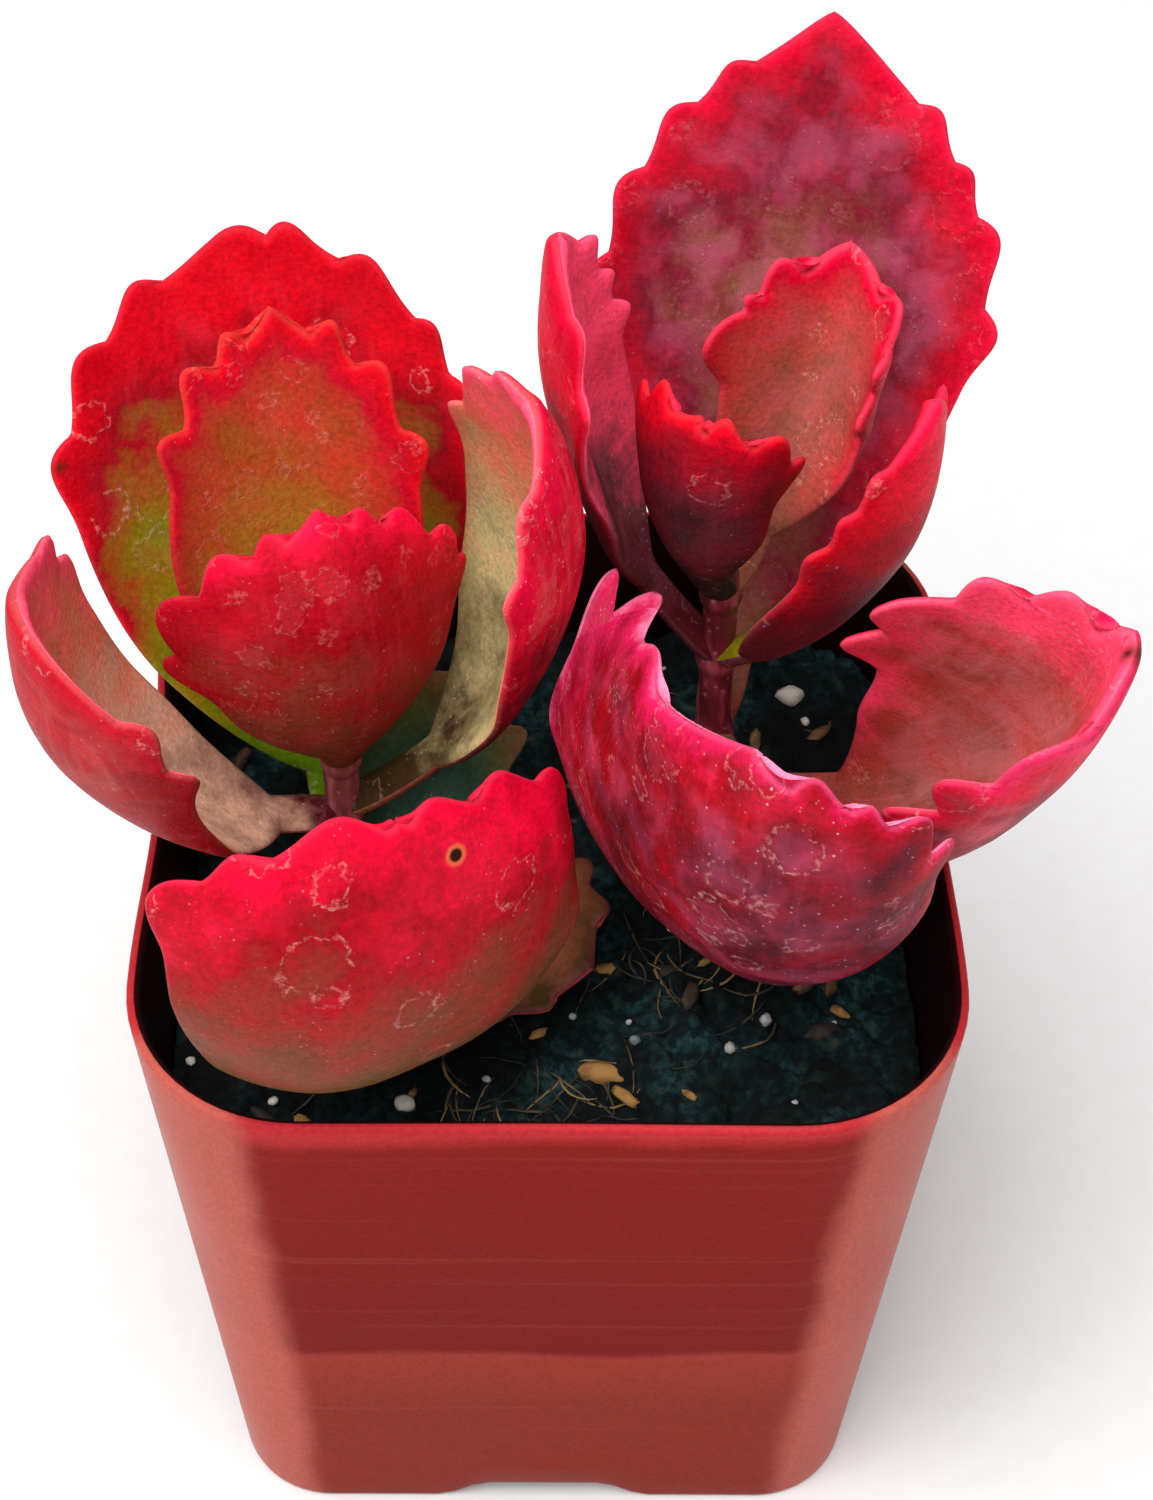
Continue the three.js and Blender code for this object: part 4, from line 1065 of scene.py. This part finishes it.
u, v = np.meshgrid(np.linspace(-1, 1, SOIL_GRID), np.linspace(-1, 1, SOIL_GRID), indexing="ij")
spread = np.maximum(np.abs(u), np.abs(v))
reach = soil_reach(SOIL_LEVEL, np.arctan2(v, u))
length = np.maximum(np.hypot(u, v), 1e-9)
x, y = u / length * spread * reach, v / length * spread * reach
top = np.stack([x, y, soil_top(x, y)], axis=-1)
n = SOIL_GRID
index = np.arange(n * n).reshape(n, n)
quads = np.stack([index[:-1, :-1], index[1:, :-1], index[1:, 1:], index[:-1, 1:]], axis=-1).reshape(-1, 4)
border = np.concatenate([index[:-1, 0], index[-1, :-1], index[:0:-1, -1], index[0, :0:-1]])
angle = np.arctan2(*top.reshape(-1, 3)[border, 1::-1].T)
foot_x, foot_y = (soil_reach(SOIL_FOOT, angle) * part for part in (np.cos(angle), np.sin(angle)))
foot = np.column_stack([foot_x, foot_y, np.full(len(angle), SOIL_FOOT)])
vertices = np.vstack([top.reshape(-1, 3), foot, [[0, 0, SOIL_FOOT]]])
i = np.arange(len(border))
k = (i + 1) % len(border)
skirt = np.column_stack([border[k], border[i], n * n + i, n * n + k])
under = np.column_stack([n * n + k, n * n + i, np.full(len(i), len(vertices) - 1)])
peat = mesh_object("peat", vertices * MM + pot_axis, [*quads, *skirt, *under])
print("peat with", len(peat.data.polygons), "faces")

# %% Peat finish
PEAT_STOPS = [(0.25, "#02080a"), (0.46, "#081c20"), (0.57, "#1a4042"), (0.67, "#4a4a34"), (0.82, "#946c42")]
DAMP_STOPS = [(0.38, "#2e3a3c"), (0.5, "#7c8888"), (0.62, "#ffffff")]

material, shader, add = new_finish("dark peat", Roughness=0.92, Specular_IOR_Level=0.25)
place = add("TexCoord").outputs["Object"]
grain = add("TexNoise", place, Scale=900.0, Detail=6.0, Roughness=0.7)
damp = add("ValToRGB", add("TexNoise", place, Scale=90.0, Detail=3.0), stops=DAMP_STOPS)
colour = add("Mix RGBA", 1.0, add("ValToRGB", grain, stops=PEAT_STOPS), damp, blend_type="MULTIPLY")
wire(shader, colour, grain, 0.9, 0.0004)
dress(peat, material, "peat", "soil")
print("peat dressed")

# %% [markdown]
# ## Perlite, bark and fibres
#
# Potting peat is mixed with white grains of perlite, bits of bark and loose fibres. They could be scattered
# with particles, but those are lost when the model is exported. So each kind is one mesh of many small
# closed forms: a rough ball of eighty triangles for a grain, a squashed one for bark, and a thin bent rod
# with three sides for a fibre.

# %% Grains, chips and fibres
GOLDEN = (1 + 5**0.5) / 2
NEIGHBOUR_WITHIN = 1.1
WALL_CLEAR, STEM_CLEAR, CORNER_CLEAR = 3, 2.6, 9
BALL_POINTS = np.array([(s1 * a, s2 * b, 0) for s1 in (-1, 1) for s2 in (-1, 1) for a, b in ((1, GOLDEN),)])
BALL_POINTS = np.vstack([np.roll(BALL_POINTS, k, axis=1) for k in range(3)]) / np.hypot(1, GOLDEN)


def ball_faces():
    """Twenty faces of the icosahedron: every three corners that are an edge length apart, facing out."""
    near = np.linalg.norm(BALL_POINTS[:, None] - BALL_POINTS, axis=-1) < NEIGHBOUR_WITHIN
    found = []
    for a in range(12):
        for b in range(a + 1, 12):
            for c in range(b + 1, 12):
                if near[a, b] and near[b, c] and near[a, c]:
                    out = np.linalg.det(BALL_POINTS[[a, b, c]]) > 0
                    found.append((a, b, c) if out else (a, c, b))
    return np.array(found)


BALL_FACES = ball_faces()


def finer(points, faces):
    """Splits each triangle in four and moves the new corners onto the ball."""
    points, halves, made = points.tolist(), {}, []
    for a, b, c in faces.tolist():
        mids = []
        for pair in ((a, b), (b, c), (c, a)):
            key = tuple(sorted(pair))
            if key not in halves:
                middle = (np.array(points[key[0]]) + np.array(points[key[1]])) / 2
                halves[key] = len(points)
                points.append((middle / np.linalg.norm(middle)).tolist())
            mids.append(halves[key])
        ab, bc, ca = mids
        made += [(a, ab, ca), (b, bc, ab), (c, ca, bc), (ab, bc, ca)]
    return np.array(points), np.array(made)


FINE_POINTS, FINE_FACES = finer(BALL_POINTS, BALL_FACES)


def lump(place, size, roughness, seed):
    """A knobbly grain: the ball's corners moved in or out at random, scaled and turned at random."""
    dice = np.random.default_rng(seed)
    knobs = 1 + roughness * dice.uniform(-1, 1, (len(FINE_POINTS), 1))
    shape = FINE_POINTS * knobs * np.array(size) / 2
    a, b = dice.uniform(0, 2 * np.pi), dice.uniform(-0.4, 0.4)
    flat_turn = np.array([[np.cos(a), -np.sin(a), 0], [np.sin(a), np.cos(a), 0], [0, 0, 1]])
    tilt = np.array([[1, 0, 0], [0, np.cos(b), -np.sin(b)], [0, np.sin(b), np.cos(b)]])
    return shape @ tilt.T @ flat_turn.T + place


def scatter(count, seed, margin_mm=2.5):
    """Random places on the peat, at least a margin from the wall and from the stems."""
    dice = np.random.default_rng(seed)
    half = RIM_HALF - WALL_CLEAR - margin_mm
    places = dice.uniform(-half, half, (count * 3, 2))
    feet = [np.array(shoot["foot"]) for shoot in SHOOTS.values()]
    clear = np.all([np.hypot(*(places - foot).T) > STEM_CLEAR for foot in feet], axis=0)
    round_corner = np.hypot(*np.maximum(np.abs(places) - (half - CORNER_CLEAR), 0).T) < CORNER_CLEAR
    return places[clear & round_corner][:count]


def lumps_on_peat(seen, spread, sizes, form, rise, roughness, seed):
    """A lump at each seen (x, y, size) and at each spread place, which takes its size from sizes.

    form is length, width and height for a size of 1. It stands rise[0] + rise[1] size above the peat.
    """
    chosen = [*seen, *((x, y, size) for (x, y), size in zip(spread, sizes))]
    lumps = []
    for number, (x, y, size) in enumerate(chosen):
        level = float(soil_top(np.array([[x]]), np.array([[y]]))[0, 0])
        place = (x, y, level + rise[0] + rise[1] * size)
        lumps.append(lump(place, [size * share for share in form], roughness, seed + number))
    return lumps


def joined(name, lumps, faces):
    """One mesh of many lumps with the same faces. tint is a random number a lump, 1 for the two big ones."""
    count = len(lumps[0])
    vertices = np.vstack(lumps)
    all_faces = np.vstack([faces + count * i for i in range(len(lumps))])
    shades = np.random.default_rng(len(lumps)).uniform(0, 1, len(lumps))
    shades[:2] = 1.0
    tint = np.repeat(shades, count)
    return mesh_object(name, vertices * MM + pot_axis, all_faces, tint=tint)


SEEN_PERLITE = (
    (20.6, 22.4, 2.3), (-11.1, -20.4, 1.7), (6.9, -14.5, 1.0), (17.3, -12.5, 1.2), (14.4, -15.2, 1.1),
    (-21.4, -20.0, 0.9), (21.8, 19.1, 0.9), (-28.0, -16.7, 0.9), (2.0, -12.0, 0.7), (10.0, -3.0, 0.8),
)
SEEN_BARK = ((4.1, -17.4, 4.2), (6.1, -19.6, 2.8), (9.4, -7.1, 3.2), (11.4, -10.5, 3.0))
dice = np.random.default_rng(31)
sizes = dice.uniform(0.3, 0.75, 24)
grains = lumps_on_peat(SEEN_PERLITE, scatter(24, 32), sizes, (1, 0.85, 0.75), (0, 0.22), 0.16, 100)
perlite = joined("perlite", grains, FINE_FACES)
sizes = dice.uniform(1.0, 3.2, 60)
chips = lumps_on_peat(SEEN_BARK, scatter(60, 33), sizes, (1, 0.42, 0.3), (0.2, 0), 0.22, 200)
bark = joined("bark_chips", chips, FINE_FACES)
print(len(grains), "grains and", len(chips), "chips")

# %% Fibres
FIBRE_STEPS = 7
FIBRE_LIFT = 0.15
TAPER = 0.25


def fibre(place, length, thickness, seed):
    """A rod with three sides along a random bent line that follows the peat."""
    dice = np.random.default_rng(seed)
    heading = dice.uniform(0, 2 * np.pi) + np.linspace(0, dice.uniform(-2.2, 2.2), FIBRE_STEPS)
    step = length / (FIBRE_STEPS - 1)
    x = place[0] + np.append(0, np.cumsum(np.cos(heading[:-1]) * step))
    y = place[1] + np.append(0, np.cumsum(np.sin(heading[:-1]) * step))
    z = soil_top(x[None], y[None])[0]
    z = np.convolve(np.pad(z, 1, mode="edge"), np.ones(3) / 3, mode="valid") + FIBRE_LIFT
    line = np.column_stack([x, y, z])
    side = np.column_stack([-np.sin(heading), np.cos(heading), 0 * heading])
    radius = thickness / 2 * np.sin(np.linspace(TAPER, np.pi - TAPER, FIBRE_STEPS))[:, None]
    around = [side * np.cos(a) * radius + np.array([0, 0, 1]) * np.sin(a) * radius for a in (0.5, 2.6, 4.7)]
    return np.stack([line + part for part in around], axis=1).reshape(-1, 3)


i = np.arange(FIBRE_STEPS - 1)[:, None] * 3
j = np.arange(3)
k = (j + 1) % 3
first, second = np.stack([i + j, i + k, i + 3 + k], axis=-1), np.stack([i + j, i + 3 + k, i + 3 + j], axis=-1)
ends = [[2, 1, 0], [3 * FIBRE_STEPS - 3, 3 * FIBRE_STEPS - 2, 3 * FIBRE_STEPS - 1]]
fibre_faces = np.vstack([first.reshape(-1, 3), second.reshape(-1, 3), ends])
dice = np.random.default_rng(41)
SEEN_FIBRES = ((-6.0, -20.8), (-4.0, -21.5), (9.4, -7.0), (11.0, -10.5), (1.0, -18.0), (5.0, -19.0))
tangle = np.repeat(SEEN_FIBRES, 9, axis=0) + dice.normal(0, 1.3, (9 * len(SEEN_FIBRES), 2))
places = [*tangle.tolist(), *scatter(60, 42, 6.0).tolist()]
rods = []
for number, place in enumerate(places):
    length, thickness = dice.uniform(2.5, 6.5), dice.uniform(0.16, 0.34)
    rods.append(fibre(place, length, thickness, 300 + number))
fibres = joined("peat_fibres", rods, fibre_faces)
print(len(rods), "fibres")

# %% Grain finishes
def grain_finish(name, scale, stops, rough):
    """Each lump has its own place on the ramp, with finer noise on top."""
    material, shader, add = new_finish(name, Roughness=rough)
    tint = add("Attribute", attribute_name="tint").outputs["Fac"]
    grain = add("TexNoise", add("TexCoord").outputs["Object"], Scale=scale, Detail=5.0)
    spread = add("MapRange", grain, *NOISE_ENDS, -0.3, 0.3)
    wire(shader, add("ValToRGB", add("Math ADD", tint, spread), stops=stops), grain, 0.6, 0.0001)
    return material


PERLITE_STOPS = [(0.1, "#5f7074"), (0.35, "#8f9a9c"), (1.0, "#e0d6c8")]
BARK_STOPS = [(0.0, "#1c1713"), (0.35, "#3b2a1c"), (0.7, "#6e4c2c"), (1.0, "#a8793f")]
FIBRE_STOPS = [(0.0, "#20261f"), (0.5, "#4a3f28"), (1.0, "#94764a")]
dress(perlite, grain_finish("perlite", 1500.0, PERLITE_STOPS, 0.85), "peat")
dress(bark, grain_finish("bark", 900.0, BARK_STOPS, 0.8), "peat")
dress(fibres, grain_finish("fibre", 700.0, FIBRE_STOPS, 0.8), "peat")
print("grains dressed")

# %% [markdown]
# ## Stems
#
# Each rooted shoot is a short fleshy stem, swollen where a pair of leaves joins it, with a fine ring round
# the joint, and it ends in a bud. A lathe gives that at once: the radius is a function of height. A little
# noise round it keeps it from looking turned.

# %% Stems
STEM_RADIUS = 1.35
NODE_SWELL, NODE_REACH = 0.35, 1.0
RING_DEPTH, RING_BELOW, RING_REACH = 0.1, 1.3, 0.18
BUD_START, BUD_LENGTH, BUD_ROUND = 1.1, 5.0, 0.4
STEM_BURIED = 12.0
SHAFT_LEVELS, CAP_LEVELS, STEM_AROUND = 150, 8, 48
SKIN_CELL, SKIN_HEIGHT = 2.2, 0.035


def stem_mesh(name, shoot, seed):
    """Radius = stem + a bump at each node + a fine ring below it, closing to a point over the bud."""
    nodes = shoot["nodes"]
    top = nodes[-1] + BUD_START + BUD_LENGTH
    shaft = np.linspace(SOIL_LEVEL - STEM_BURIED, top - BUD_ROUND, SHAFT_LEVELS)[:-1]
    cap = top - BUD_ROUND * np.cos(np.linspace(0, np.pi / 2, CAP_LEVELS))[:-1]
    z = np.append(shaft, cap)
    radius = np.full(len(z), STEM_RADIUS)
    for node in nodes:
        radius += NODE_SWELL * np.exp(-(((z - node) / NODE_REACH) ** 2))
        radius -= RING_DEPTH * np.exp(-(((z - node + RING_BELOW) / RING_REACH) ** 2))
    bud = np.clip((z - nodes[-1] - BUD_START) / BUD_LENGTH, 0, 1)
    radius *= np.sqrt(np.clip(1 - bud**1.5, 0, 1))
    angle = np.linspace(0, 2 * np.pi, STEM_AROUND + 1)[:-1]
    around, up = np.meshgrid(angle, z)
    across, ahead = 4 * np.sin(around) + 50, 4 * np.cos(around) + 90
    wave = value_noise(up, across, SKIN_CELL, seed) + value_noise(up, ahead, SKIN_CELL, seed)
    wide = radius[:, None] * (1 + SKIN_HEIGHT * wave)
    rings = np.stack([wide * np.cos(around), wide * np.sin(around), up], axis=-1)
    vertices, faces = ring_stack(rings, (0, 0, z[0]), (0, 0, top))
    return mesh_object(name, (vertices + [*shoot["foot"], 0]) * MM + pot_axis, faces)


def stem_finish(name, stops):
    """Mauve-red skin with lengthwise streaks and pale corky flecks."""
    material, shader, add = new_finish(name, Roughness=0.5, Subsurface_Weight=0.1, Subsurface_Scale=0.001)
    place = add("TexCoord").outputs["Object"]
    streaks = add("TexNoise", add("VectorMath MULTIPLY", place, (1.0, 1.0, 0.25)), Scale=900.0, Detail=4.0)
    corky = add("MapRange", add("TexVoronoi", place, Scale=900.0), 0.12, 0.22, 0.5, 0.0)
    colour = add("Mix RGBA", corky, add("ValToRGB", streaks, stops=stops), "#b98a8a")
    wire(shader, colour, streaks, 0.6, 0.0001)
    return material


STEM_LOOKS = {
    "left": [(0.3, "#5e2a30"), (0.5, "#8a3f48"), (0.7, "#b06a70")],
    "right": [(0.3, "#3e1018"), (0.5, "#6e1a2a"), (0.7, "#9c4654")],
}
for number, (side, shoot) in enumerate(SHOOTS.items()):
    made = stem_mesh(f"{side}_shoot_stem", shoot, 60 + number)
    dress(made, stem_finish(f"{side} stem skin", STEM_LOOKS[side]), "stem", f"{side}_stem")
print("two stems")

# %% [markdown]
# ## Floor and light
#
# The plant stands on a pale floor under one big soft light from above and a little to the left, as under a
# cloudy sky. A pale world fills the shadows, and two upright panels in front of the pot, one to its left and
# one to its right, light its sides.

# %% Floor, light and world
floor_mesh = mesh_object("floor", [(-3, -3, 0), (3, -3, 0), (3, 3, 0), (-3, 3, 0)], [(0, 1, 2, 3)])
material, shader, add = new_finish("pale floor", Roughness=0.9, Specular_IOR_Level=0.1)
grain = add("TexNoise", add("TexCoord").outputs["Object"], Scale=400.0)
colour = add("ValToRGB", grain, stops=[(0.3, "#e1e0df"), (0.7, "#e3e3e2")])
material.node_tree.links.new(first_output(colour), shader.inputs["Base Color"])
floor_mesh.data.materials.append(material)
floor_mesh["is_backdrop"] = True


def soft_light(name, place, size, power):
    """An area light that faces the middle of the plant, with places and sizes in metres, power in watts."""
    lamp = bpy.data.lights.new(name, "AREA")
    lamp.shape, lamp.size, lamp.size_y, lamp.energy = "RECTANGLE", size[0], size[1], power
    light = bpy.data.objects.new(name, lamp)
    light.location = place
    light.rotation_euler = (Vector(PLANT_MIDDLE) - Vector(place)).to_track_quat("-Z", "Y").to_euler()
    bpy.context.collection.objects.link(light)


PLANT_MIDDLE = (0, 0, 0.05)
PANEL_SIZE, PANEL_POWER = (0.12, 0.3), 0.8
soft_light("overhead", (-0.15, -0.2, 0.75), (0.8, 0.8), 11.0)
soft_light("left_panel", (-0.5, -0.3, 0.1), PANEL_SIZE, PANEL_POWER)
soft_light("right_panel", (0.5, -0.3, 0.1), PANEL_SIZE, PANEL_POWER)
world = bpy.data.worlds.new("studio")
bpy.context.scene.world = world
world.use_nodes = True
background = world.node_tree.nodes["Background"]
background.inputs["Color"].default_value = linear("#eef1f4")
background.inputs["Strength"].default_value = 0.32
bpy.context.scene.view_settings.view_transform = "Standard"
print("lit")

# %% [markdown]
# ## Compare the boxes
#
# The dressed plant must be as big as the imported model, so its box is printed as the model's was.

# %% The box of the dressed plant
visual_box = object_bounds()
boxes = {"cad": cad_box, "visual": visual_box}
sizes = {name: [list(map(float, corner)) for corner in box] for name, box in boxes.items()}
print("visual box", [round(v, 4) for corner in visual_box for v in corner])
